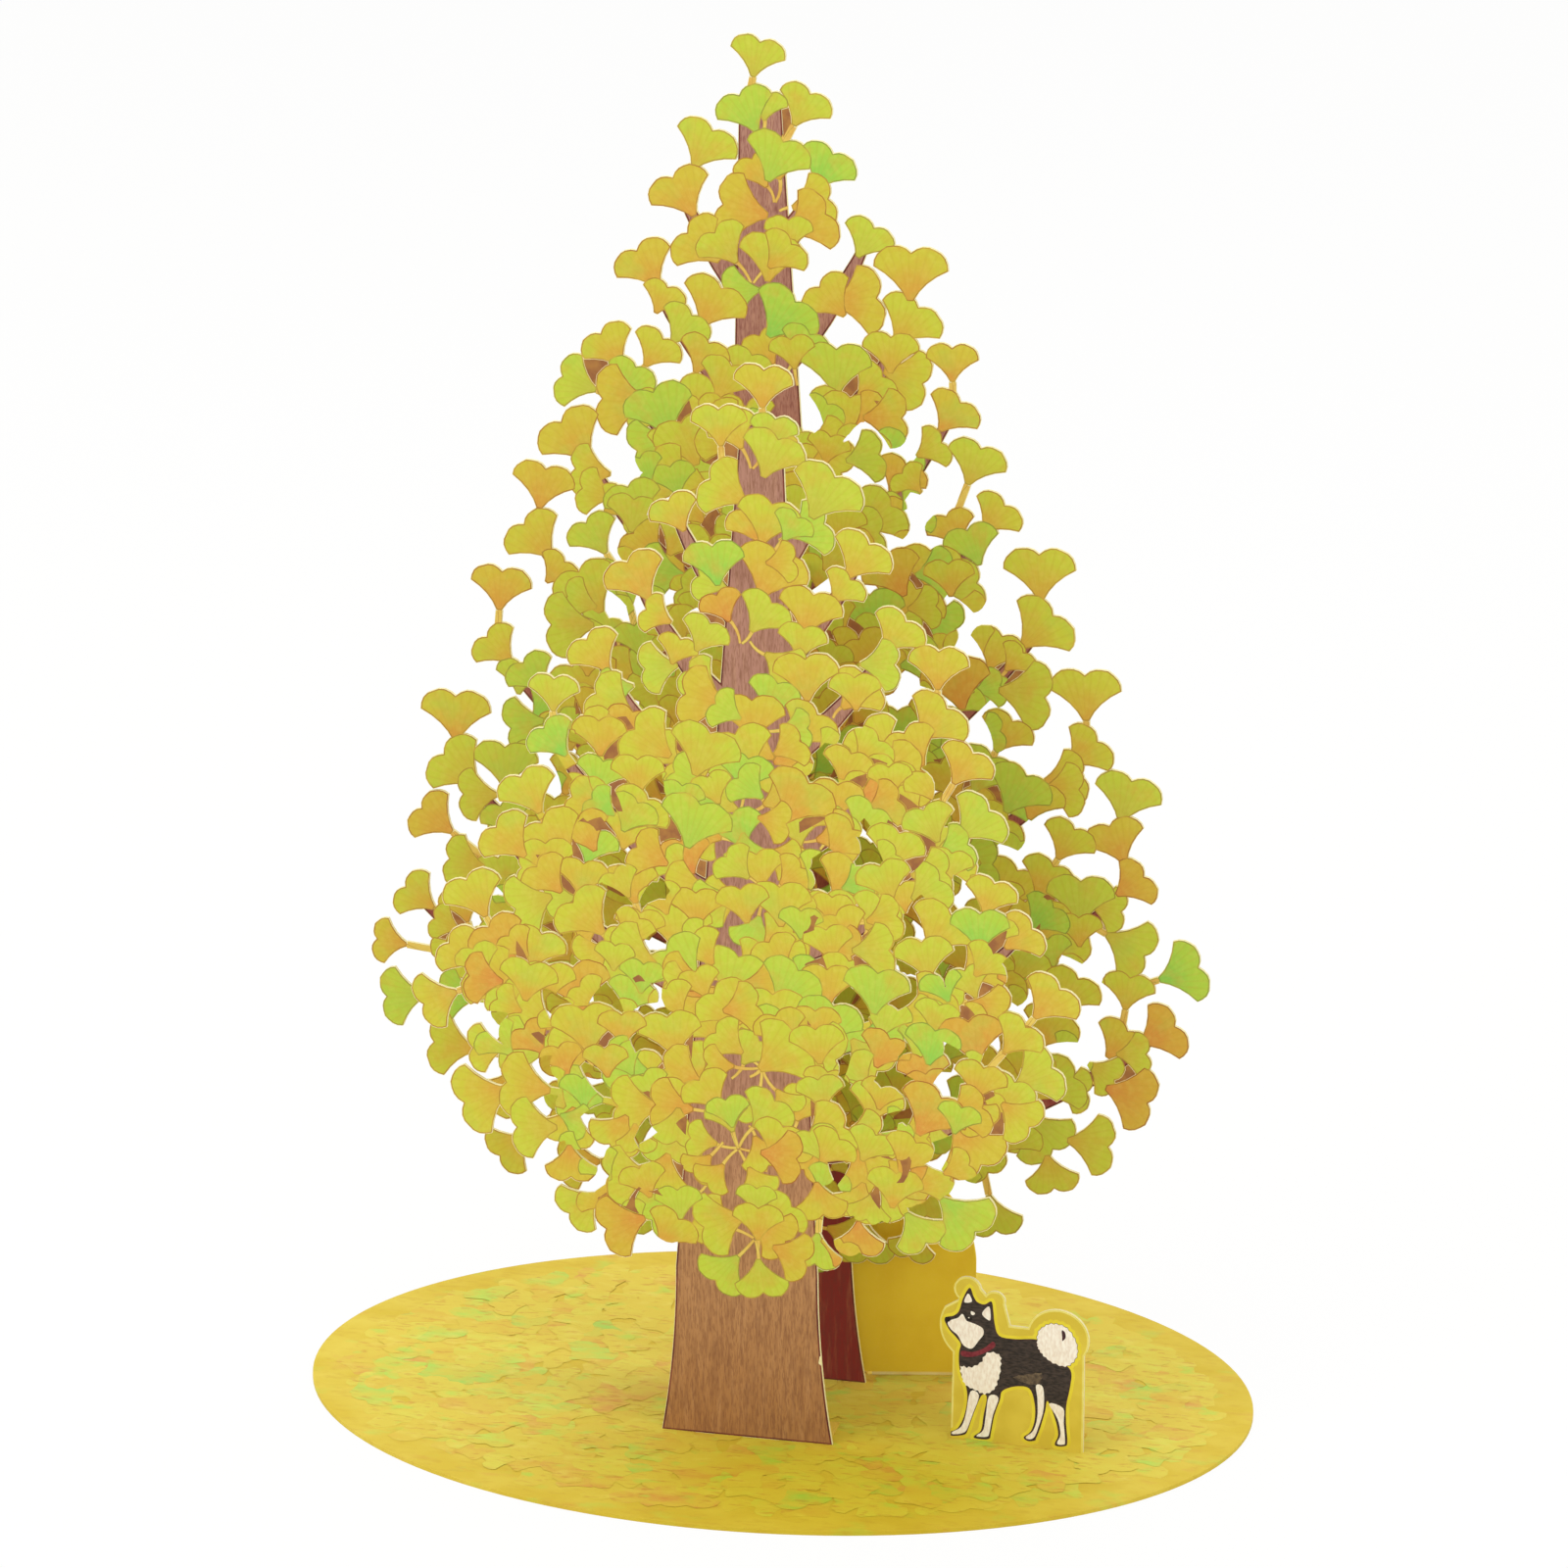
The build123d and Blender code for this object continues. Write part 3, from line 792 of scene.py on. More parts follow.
def ground_paint(tree, where):
    """The oval's watercolour: ochre with clouds of lime, gold and brown, smeared along its length."""
    ground = wash(tree, where, colour("dcc64e"), "d4ba3c", 8.0, 0.35, 0.6, 1.0, (1.3, 0.8, 1))
    ground = wash(tree, where, ground, "d29a48", 3.6, 0.60, 0.74, 0.4, (1.6, 0.8, 1))
    ground = wash(tree, where, ground, "b9d45a", 5.0, 0.58, 0.74, 0.6, (1.5, 0.8, 1))
    ground = wash(tree, where, ground, "c49a34", 1.1, 0.52, 0.75, 0.35, (1.8, 0.7, 1))
    # The trees' shadow is painted over the front of the oval
    return with_painted_tree_shadow(tree, where, ground)


def fallen_paint(tree, where):
    """Fallen leaves in the same watercolour, washed into the ground."""
    ground = node(tree, "ShaderNodeValToRGB", {0: hue_of_shape(tree)}, stops=FALLEN)
    ground = wash(tree, where, ground, "dac54c", 3.0, 0.3, 0.55, 0.8, (1.4, 0.8, 1))
    ground = wash(tree, where, ground, "a8d858", 4.0, 0.60, 0.72, 0.6, (1.3, 0.8, 1))
    ground = wash(tree, where, ground, "e6da6c", 2.2, 0.56, 0.72, 0.4, (1.6, 0.8, 1))
    ground = wash(tree, where, ground, "c4853c", 0.9, 0.57, 0.68, 0.5, (2.2, 0.6, 1))
    # The trees' shadow is painted over the fallen leaves too
    return with_painted_tree_shadow(tree, where, ground)


def mustard_paint(tree, where):
    """The plain panel behind the trunks: solid mustard ink over a pale cut line at its foot."""
    height = node(tree, "ShaderNodeSeparateXYZ", {0: where}, "Z")
    rise = node(tree, "ShaderNodeMapRange", {"Value": height, "From Max": MUSTARD_RISE})
    ground = node(tree, "ShaderNodeValToRGB", {0: rise}, stops=MUSTARD)
    ground = wash(tree, where, ground, "e4c22e", 7.0, 0.4, 0.65, 0.6)
    return wash(tree, where, ground, "f4d45c", 0.3, 0.5, 0.75, 0.25)


def drawn_paint(one, two, grain, stretch=(1, 1, 1)):
    """A plain field of a drawn print, with the uneven cover of its ink."""

    def paint(tree, where):
        return wash(tree, where, colour(one), two, grain, 0.38, 0.64, 1.0, stretch)

    return paint


leaf_print = on_card("leaf_watercolour_print", leaf_paint)
leaf_line = on_card("leaf_contour_print", contour_paint)
stem_print = on_card("stem_print", stem_paint)
leaf_shade = on_card("leaf_shade_print", shade_paint)
front_bark = on_card("front_bark_print", bark_paint(FRONT_BARK, FRONT.height, "7a4e34"))
# The rear trunk's bark, with painted shade at its foot
rear_bark_and_painted_shade = on_card("rear_bark_and_painted_shade_print", bark_paint(REAR_BARK_AND_PAINTED_SHADE, REAR.height, "743834"))
bark_line = on_card("bark_contour_print", bark_line_paint)
cut_edge = on_card("cut_edge_of_card", cut_paint, 0.9)
plain_back = on_card("dyed_yellow_card_back", back_paint, 0.85)
ground_print = on_card("oval_watercolour_print", ground_paint)
fallen_print = on_card("fallen_leaf_print", fallen_paint)
mustard_print = on_card("mustard_ink_print", mustard_paint, 0.75)

# The dog's print: flat fields of ink, each a little uneven, and hairs that run along its coat
dog_inks = [
    on_card("dog_panel_print", drawn_paint("dcc646", "d2ba3c", 4.0)),
    on_card("dog_halo_print", drawn_paint("e6d63c", "dcc834", 3.0)),
    on_card("dog_outline_print", drawn_paint("3a2226", "5a3338", 0.5)),
    on_card("dog_dark_coat_print", drawn_paint("2b2523", "463b36", 0.3, (2.4, 1, 0.8))),
    on_card("dog_white_coat_print", drawn_paint("fbf5ea", "ecdfd0", 0.35, (0.8, 1, 2.0))),
    on_card("dog_tan_coat_print", drawn_paint("4c4036", "6e5e4c", 0.4)),
    on_card("dog_collar_print", drawn_paint("6e2430", "84333c", 0.4)),
    on_card("dog_eye_print", drawn_paint("14100f", "221a18", 0.3)),
    on_card("dog_panel_rim_print", drawn_paint("e9de80", "dfd262", 2.0)),
]


# The two trees

FLARE_CUTS = 10
BRANCH_CUTS = 8

# A tree's inks, in the order of its materials
LEAF, LEAF_LINE, STEM, SHADE, BARK, BARK_LINE, EDGE, BACK = range(8)


def trunk_outline(tree):
    """The trunk from its flared foot to its tip."""
    flare_top = BASE_CARD + FLARE_HEIGHT
    middle = ((tree.foot_half + 3 * tree.trunk_half) / 4, BASE_CARD + FLARE_HEIGHT / 2)
    right = arc((tree.foot_half, BASE_CARD), middle, (tree.trunk_half, flare_top), FLARE_CUTS)
    top = tree.height - TRUNK_STOP
    tip_right = (tree.axis(top) + TRUNK_TIP_HALF, top)
    tip_left = (tree.axis(top) - TRUNK_TIP_HALF, top)
    return right + [tip_right, tip_left] + [(-x, z) for x, z in reversed(right)]


def branch_outline(branch):
    """A branch that narrows from its root to its tip in one soft bend."""
    line = bent(*branch, BRANCH_CUTS)
    taper = BRANCH_TIP - BRANCH_ROOT
    return ribbon(line, [(BRANCH_ROOT + taper * k / BRANCH_CUTS) / 2 for k in range(BRANCH_CUTS + 1)])


@dataclass
class Leaf:
    """One leaf of a tree: where it is held, its throat, its direction and its outline."""

    carrier: tuple
    throat: tuple
    turn: float
    width: float
    outline: list
    printed_only: bool

    def at(self, depth=0.0):
        """The outline where the leaf is, drawn in by a depth."""
        return placed(inset(self.outline, depth) if depth else self.outline, self.throat, self.turn)


def die_cut_leaves(tree, rng):
    """The leaves of the model, fuller where the sheet is solid, and fewer over the trunk."""
    found = []
    for size, spot, carrier in tree.leaves():
        turn = atan2(spot[1] - carrier[1], spot[0] - carrier[0])
        inner = abs(spot[0]) < tree.crown_half - RIM_BAND and spot[1] < tree.height - RIM_BAND
        width = LEAF_WIDTHS[size] * rng.uniform(*(INNER_WIDTHS if inner else RIM_WIDTHS))
        low, high = tree.crown_bottom + BARK_START, BARK_END * tree.height
        over_bark = low < spot[1] < high and tree.beside_trunk(spot) < BARK_MIDDLE
        if over_bark and rng.random() < BARK_SHOWN:
            continue
        throat = onwards(spot, turn, -SPOT_REACH * width)
        found.append(Leaf(carrier, throat, turn, width, leaf_outline(width, rng), False))
    return found


def small_leaf(throat, turn, stem, rng):
    """A smaller leaf with a stem behind its throat."""
    width = rng.uniform(*SMALL_WIDTHS)
    return Leaf(onwards(throat, turn, -stem), throat, turn, width, leaf_outline(width, rng), True)


def shoot_turns(tree, z, rng):
    """The directions of a shoot's leaves: all round, or two upwards in the loose top."""
    if z >= tree.height - OPEN_TOP:
        return TOP_SHOOT
    count = rng.choice(SHOOT_COUNTS)
    first = rng.uniform(0, 2 * pi)
    return [first + 2 * pi * k / count for k in range(count)]


def leaves_over_trunk(tree, rng):
    """Leaves in shoots to the right and left of the trunk's middle, with bark between their stems."""
    found = []
    z, side = tree.crown_bottom + SHOOT_START, 1
    while z < tree.height - SHOOT_END:
        centre = (tree.axis(z) + side * tree.trunk_half_at(z) * rng.uniform(*SHOOT_ASIDE), z)
        for even_turn in shoot_turns(tree, z, rng):
            turn = even_turn + rng.gauss(0, SHOOT_WOBBLE)
            reach = rng.uniform(*SHOOT_REACH)
            found.append(small_leaf(onwards(centre, turn, reach), turn, reach, rng))
        z, side = z + SHOOT_GAP * rng.uniform(*SHOOT_GAPS), -side
    throat = (tree.axis(tree.height) + TIP_LEAF[0], tree.height - TRUNK_STOP + TIP_LEAF[1])
    found.append(small_leaf(throat, TIP_TURN, TIP_STEM, rng))
    return found


def leaves_over_branches(tree, rng):
    """Leaves to the right and left along each branch."""
    found = []
    for root, middle, end in tree.branches():
        line = bent(root, middle, end, max(2, round(dist(root, end) / BRANCH_GAP)))
        for k in range(1, len(line) - 1):
            run, rise = line[k + 1][0] - line[k - 1][0], line[k + 1][1] - line[k - 1][1]
            if rng.random() < BRANCH_COVER:
                turn = atan2(rise, run) + radians(rng.choice(BRANCH_TURNS) + rng.gauss(0, BRANCH_WOBBLE))
                throat = onwards(line[k], turn, -BRANCH_BACK)
                found.append(small_leaf(throat, turn, rng.uniform(*BRANCH_STEMS), rng))
    return found


def leaves_over_crown(tree, rng):
    """Small leaves spread where the sheet is solid, fewer of them over the trunk."""
    found, spots = [], []
    for _ in range(CROWN_TRIES):
        z = rng.uniform(tree.crown_bottom, tree.height - OPEN_TOP)
        aside = rng.uniform(-1, 1) * tree.half_width(z)
        spot = (tree.axis(z) + aside, z)
        depth = min(tree.half_width(z) - abs(aside), z - tree.crown_bottom + CROWN_HEM)
        if depth < CROWN_DEPTH * tree.rim or any(dist(spot, other) < CROWN_GAP for other in spots):
            continue
        spots.append(spot)
        if tree.beside_trunk(spot) < 1.0 and rng.random() < CROWN_BARK_SHOWN:
            continue
        turn = radians(90 - CROWN_SPLAY * aside / tree.crown_half + rng.gauss(0, CROWN_WOBBLE))
        if z < tree.crown_bottom + HANGING_HEIGHT and rng.random() < CROWN_HANGING:
            turn += pi
        throat = onwards(spot, turn, -CROWN_BACK)
        found.append(small_leaf(throat, turn, rng.uniform(*CROWN_STEMS), rng))
    return found


def leaf_tint(leaf, golden, rng):
    """The leaf's hue, from green at 0 to golden at 1, and a second number of its own."""
    usual = golden if leaf.printed_only else golden + DIE_CUT_GOLD
    hue = min(1.0, max(0.0, rng.gauss(usual, HUE_SPREAD)))
    if rng.random() < GREEN_SHARE:
        hue = rng.uniform(*GREEN_HUES)
    return hue, rng.random(), 0.0


def drawn_stem(leaf, rng):
    """The outline of a leaf's stem, a little bowed, or none where the leaf sits close."""
    start = onwards(leaf.carrier, leaf.turn, STEM_START)
    end = onwards(leaf.throat, leaf.turn, STEM_END)
    reach = dist(start, end)
    if reach <= 2 * STEM_WIDTH:
        return None
    bow = rng.uniform(-STEM_BOW, STEM_BOW) * reach
    c, s = cos(leaf.turn), sin(leaf.turn)
    middle = ((start[0] + end[0]) / 2 - bow * s, (start[1] + end[1]) / 2 + bow * c)
    return ribbon(bent(start, middle, end, len(STEM_HALVES) - 1), STEM_HALVES)


def tree_shapes(tree, rng, golden):
    """Everything printed on one tree, from what lies lowest to what lies uppermost."""
    leaves = die_cut_leaves(tree, rng)
    wood = [trunk_outline(tree)] + [branch_outline(branch) for branch in tree.branches()]
    stems = []
    for leaf in leaves:
        if dist(leaf.throat, leaf.carrier) > STEM_WIDTH:
            stems.append(ribbon([leaf.carrier, leaf.throat], [STEM_WIDTH / 2] * 2))
    leaves += leaves_over_trunk(tree, rng)
    leaves += leaves_over_branches(tree, rng)
    outlines = wood + stems + [leaf.at() for leaf in leaves]
    leaves += leaves_over_crown(tree, rng)
    leaves.sort(key=lambda leaf: -leaf.throat[1] + rng.uniform(-LAYER_SPREAD, LAYER_SPREAD))

    # The card, bare along its cut edge, then the print that stops just inside it
    shapes = [Shape(outline, EDGE) for outline in outlines]
    cards = len(shapes)
    shapes += [Shape(inset(outline, CUT_RIM), STEM) for outline in stems]
    shapes += [Shape(inset(outline, CUT_RIM), BARK_LINE) for outline in wood]
    shapes += [Shape(inset(outline, CUT_RIM + BARK_CONTOUR), BARK) for outline in wood]
    tints = [leaf_tint(leaf, golden, rng) for leaf in leaves]
    for leaf, tint in zip(leaves, tints):
        stem = drawn_stem(leaf, rng)
        if stem:
            shapes.append(Shape(stem, LEAF_LINE, tint=tint))
            shapes.append(Shape(inset(stem, STEM_CONTOUR), STEM))
    for leaf, tint in zip(leaves, tints):
        for depth, ink in ((CUT_RIM, LEAF_LINE), (CUT_RIM + LEAF_CONTOUR, LEAF)):
            shapes.append(Shape(leaf.at(depth), ink, leaf.throat, leaf.turn, leaf.width, tint))
    return shapes, cards


def tree_piece(name, tree, bark, seed, golden, chips=()):
    """One printed tree with its folded foot, in place of the plain one."""
    shapes, cards = tree_shapes(tree, random.Random(seed), golden)
    shapes += [Shape(outline, EDGE) for outline in chips]
    shapes.append(Shape([], SHADE))
    sheet = flat_sheet(shapes, cards, EDGE, BACK, SMALLEST_OPENING, filler=len(shapes) - 1)
    (low_x, _, low_z), (high_x, _, high_z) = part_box(name)

    def stand(x, z, depth):
        return (
            min(max(x, low_x / MM), high_x / MM),
            tree.y + depth,
            min(max(z, low_z / MM), high_z / MM),
        )

    half = tree.foot_half - FOOT_INSET
    add_foot(sheet, -half, half, BASE_CARD, CARD + FOOT_DEPTH, BACK)
    materials = [leaf_print, leaf_line, stem_print, leaf_shade, bark, bark_line, cut_edge, plain_back]
    piece = sheet_piece(f"{name}_print", sheet, shapes, materials, stand)
    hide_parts(name)
    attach(piece, "root")


# Wear: a chip in the print at the right edge of the front trunk
TRUNK_CHIP = [(9.1, 11.3), (9.7, 10.8), (9.7, 12.5), (9.25, 12.2)]

tree_piece("rear_tree", REAR, rear_bark_and_painted_shade, seed=11, golden=0.31)
tree_piece("front_tree", FRONT, front_bark, seed=5, golden=0.4, chips=[TRUNK_CHIP])


# The dog on its panel, in millimetres from the panel's lower left corner

DOG_LIFT = 0.8  # from the fold to the paws
DOG_CORNER = (24.5, -11.1)
DOG_TURN = radians(-4.0)
DOG_LENGTH = 17.0
DOG_FOOT_DEPTH = 5.0
DOG_FOOT_INSET = 1.0
PANEL_LOW = 0.95  # the panel's height in the print, as a share of the model's
PANEL_RIM = 0.24
HALO_WIDTH = 0.42
BODY_LINE = 0.12
TAIL_LINE = 0.06
TAIL_HAIR = 0.1
CHEST_HAIR = 0.12
TAN_HAIR = 0.08
BELOW_PRINT = 0.5  # height under which the print runs down to the fold

# The panel's outline, in arcs through three points
PANEL_TAIL = (DOG_LENGTH, 13.6), (13.6, 19.6), (9.8, 16.6)
PANEL_WITHERS = (7.5, 16.6)
PANEL_FAR_EAR = (6.8, 19.4), (6.1, 21.0), (4.4, 20.5)
PANEL_NEAR_EAR = (3.8, 21.2), (2.3, 22.7), (1.0, 19.5)
PANEL_MUZZLE = (-0.9, 18.2), (-1.5, 16.2), (0.2, 12.0)

DOG_BODY = [
    (1.1, 16.6), (1.5, 18.0), (2.3, 19.4), (2.8, 18.3), (3.3, 17.6), (4.2, 17.4), (5.1, 17.9),
    (5.35, 16.6), (5.5, 15.2), (6.1, 13.5), (8.2, 13.3), (10.6, 13.6), (12.1, 13.2), (12.8, 11.2),
    (14.6, 10.7), (15.4, 9.7), (15.2, 7.5), (14.8, 5.3), (14.8, 3.0), (15.0, 0.4), (14.6, -0.15),
    (13.6, -0.25), (13.4, 0.1), (13.8, 1.3), (13.4, 3.3), (12.4, 5.6), (12.1, 4.2), (11.5, 1.9),
    (11.0, 0.5), (10.8, 0.1), (9.9, -0.05), (9.4, 0.4), (10.3, 1.3), (10.8, 3.1), (10.7, 5.3),
    (10.0, 7.0), (8.2, 7.0), (6.6, 6.2), (6.3, 5.0), (5.6, 2.8), (5.2, 0.5), (4.9, -0.45),
    (3.3, -0.6), (3.0, -0.3), (3.9, 0.6), (4.2, 2.6), (4.6, 5.1), (3.9, 5.2), (2.9, 2.6),
    (2.2, 0.4), (1.7, -0.3), (0.0, -0.65), (-0.2, -0.2), (0.9, 0.5), (1.7, 2.2), (2.1, 4.5),
    (1.9, 6.3), (1.3, 7.6), (1.0, 9.1), (1.0, 10.7), (1.2, 11.8), (0.5, 12.7), (-0.2, 13.4),
    (-0.7, 14.2), (-0.9, 14.8), (-0.5, 15.2), (0.2, 15.4), (0.8, 15.9),
]
DOG_TAIL = [
    (10.9, 13.2), (11.1, 14.7), (12.1, 15.7), (13.4, 16.0), (14.8, 15.6), (15.8, 14.3), (16.2, 12.7),
    (15.7, 11.2), (14.6, 10.4), (13.0, 10.7), (11.8, 11.5), (11.1, 12.4),
]
DOG_CHEST = [
    (1.2, 8.8), (2.3, 8.8), (3.7, 9.5), (4.6, 11.0), (6.1, 11.0), (6.4, 9.8), (6.1, 7.8), (5.5, 6.3),
    (4.3, 5.5), (3.1, 5.9), (1.9, 6.4), (1.4, 7.4),
]
# Muzzle and cheek, the two ears, the brow, the two front legs and the two hind legs
DOG_WHITE = [
    [(-0.5, 14.3), (-0.1, 14.8), (0.8, 15.2), (1.4, 15.8), (1.9, 15.0), (2.5, 14.8), (3.2, 14.6), (4.0, 14.2),
     (4.1, 13.4), (3.5, 12.5), (2.9, 11.6), (2.4, 11.3), (1.5, 11.7), (0.8, 12.9), (0.0, 13.5)],
    [(1.6, 17.4), (2.1, 18.6), (2.6, 17.6)],
    [(3.9, 16.2), (4.8, 17.2), (5.0, 15.5), (4.5, 15.5)],
    [(2.5, 16.3), (3.0, 16.1), (2.8, 15.8), (2.5, 15.9)],
    [(2.5, 5.6), (3.6, 5.2), (2.8, 2.6), (2.1, 0.5), (1.5, -0.1), (0.3, -0.4), (0.2, -0.1), (1.3, 0.7),
     (1.9, 2.3)],
    [(4.9, 5.3), (6.1, 5.2), (5.4, 2.8), (5.0, 0.5), (4.7, -0.15), (3.5, -0.3), (3.4, -0.1), (4.2, 0.7),
     (4.5, 2.7)],
    [(10.9, 7.5), (11.8, 7.3), (11.9, 4.5), (11.3, 2.1), (10.7, 0.5), (9.9, 0.2), (9.7, 0.5), (10.6, 1.4),
     (11.1, 3.2), (11.1, 5.7)],
    [(12.6, 5.3), (14.4, 4.9), (14.5, 3.0), (14.7, 0.4), (14.4, 0.05), (13.8, 0.0), (13.7, 0.3), (14.1, 1.4),
     (13.7, 3.4)],
]
DOG_TAN = [[(8.0, 8.2), (9.8, 8.8), (11.6, 9.2), (11.4, 8.0), (10.2, 7.5)]]
DOG_COLLAR = [
    (1.35, 10.9), (2.7, 10.9), (4.2, 11.6), (5.3, 12.6), (5.6, 12.0), (4.5, 11.1), (2.9, 10.3), (1.4, 10.2),
]
DOG_TAIL_MARK = [(14.1, 15.2), (14.5, 15.0), (14.6, 14.3), (14.2, 13.8), (14.15, 14.4)]

# The dog's inks, in the order of its materials
PANEL, HALO, OUTLINE, DARK, WHITE, TAN, COLLAR, EYE, RIM, DOG_EDGE, DOG_BACK = range(11)

# Eye, the light in it and the nose: middle, half width, half height and ink
DOG_FACE = (
    ((2.3, 15.3), 0.34, 0.32, EYE),
    ((2.22, 15.4), 0.09, 0.09, WHITE),
    ((-0.52, 14.85), 0.38, 0.34, EYE),
)


def soft(points, cuts=4):
    """A smooth closed outline through points."""
    n = len(points)
    found = []
    for k in range(n):
        p0, p1, p2, p3 = (points[(k + j) % n] for j in (-1, 0, 1, 2))
        for j in range(cuts):
            t = j / cuts
            point = []
            for a, b, c, d in zip(p0, p1, p2, p3):
                bend, twist = 2 * a - 5 * b + 4 * c - d, 3 * b - a - 3 * c + d
                point.append(0.5 * (2 * b + (c - a) * t + bend * t**2 + twist * t**3))
            found.append(tuple(point))
    return found


def furred(points, depth, rng):
    """The outline with small tufts of hair along it."""
    found = []
    for k, point in enumerate(points):
        step = depth if k % 2 else -depth
        (ax, ay), (bx, by) = points[k - 1], points[(k + 1) % len(points)]
        length = dist((ax, ay), (bx, by))
        push = step * rng.uniform(0.4, 1.0)
        found.append((point[0] + (by - ay) / length * push, point[1] - (bx - ax) / length * push))
    return found


def lifted(points):
    """The outline raised so that the paws stand just above the fold."""
    return [(x, z + DOG_LIFT) for x, z in points]


def oval(centre, half_x, half_z, cuts=14):
    """An oval outline round a centre."""
    steps = [2 * pi * k / cuts for k in range(cuts)]
    return [(centre[0] + half_x * cos(a), centre[1] + half_z * sin(a)) for a in steps]


def dog_shapes(rng):
    """The panel with its rim and halo, and the dog from its outline to its eye."""
    panel = [(0.0, 0.0), (DOG_LENGTH, 0.0)]
    panel += arc(*PANEL_TAIL, 20)
    panel += [PANEL_WITHERS] + arc(*PANEL_FAR_EAR, 10)
    panel += arc(*PANEL_NEAR_EAR, 12)
    panel += arc(*PANEL_MUZZLE, 12)
    panel = [(x, z * PANEL_LOW) for x, z in panel]
    body, tail = lifted(soft(DOG_BODY)), furred(lifted(soft(DOG_TAIL)), TAIL_HAIR, rng)
    printed = [(x, 0.0 if z < BELOW_PRINT else z) for x, z in inset(panel, PANEL_RIM)]
    shapes = [Shape(panel, RIM), Shape(printed, PANEL)]
    for outline in (body, tail):
        shapes.append(Shape(inset(outline, -HALO_WIDTH), HALO))
    for outline, depth, fill in ((body, BODY_LINE, DARK), (tail, TAIL_LINE, WHITE)):
        shapes.append(Shape(outline, OUTLINE))
        shapes.append(Shape(inset(outline, depth), fill))
    shapes.append(Shape(furred(lifted(soft(DOG_CHEST)), CHEST_HAIR, rng), WHITE))
    shapes += [Shape(lifted(soft(outline)), WHITE) for outline in DOG_WHITE]
    shapes += [Shape(furred(lifted(soft(outline)), TAN_HAIR, rng), TAN) for outline in DOG_TAN]
    shapes.append(Shape(lifted(soft(DOG_COLLAR)), COLLAR))
    shapes.append(Shape(lifted(soft(DOG_TAIL_MARK)), OUTLINE))
    for centre, half_x, half_z, ink in DOG_FACE:
        shapes.append(Shape(lifted(oval(centre, half_x, half_z)), ink))
    return shapes


def dog_piece():
    """The printed dog panel with its folded foot, in place of the plain one."""
    shapes = dog_shapes(random.Random(3))
    sheet = flat_sheet(shapes, 1, DOG_EDGE, DOG_BACK)
    c, s = cos(DOG_TURN), sin(DOG_TURN)

    def stand(x, z, depth):
        return DOG_CORNER[0] + c * x - s * depth, DOG_CORNER[1] + s * x + c * depth, BASE_CARD + z

    start, end = DOG_FOOT_INSET, DOG_LENGTH - DOG_FOOT_INSET
    add_foot(sheet, start, end, 0, CARD + DOG_FOOT_DEPTH, DOG_BACK)
    piece = sheet_piece("dog_panel_print", sheet, shapes, dog_inks + [cut_edge, plain_back], stand)
    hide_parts("dog_panel")
    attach(piece, "root")


dog_piece()


# Fallen leaves over the oval

FALLEN_WIDTHS = (0.7, 1.15)  # shares of the usual width
FALLEN_MARGIN = 6.5 * MM
LEAF_STEP = 0.00015 * MM  # how far each leaf lies above the one before it
DENSEST = 900000.0  # seats tried on a square metre, before the spacing thins them out


def fallen_leaf(name):
    """One flat leaf, one unit wide round its middle, and one unit thick until it is scattered."""
    outline = leaf_outline(1.0, random.Random(2))[::2]
    n = len(outline)
    points = [(x - SPOT_REACH, y, z) for z in (0.0, 1.0) for x, y in outline]
    # The outline runs clockwise, so the lower face takes it as it is and the upper one backwards
    sides = [(k + n, (k + 1) % n + n, (k + 1) % n, k) for k in range(n)]
    mesh = bpy.data.meshes.new(name)
    mesh.from_pydata(points, [], [tuple(range(n)), tuple(range(n, 2 * n))[::-1]] + sides)
    mesh.materials.append(fallen_print)
    return bpy.data.objects.new(name, mesh)


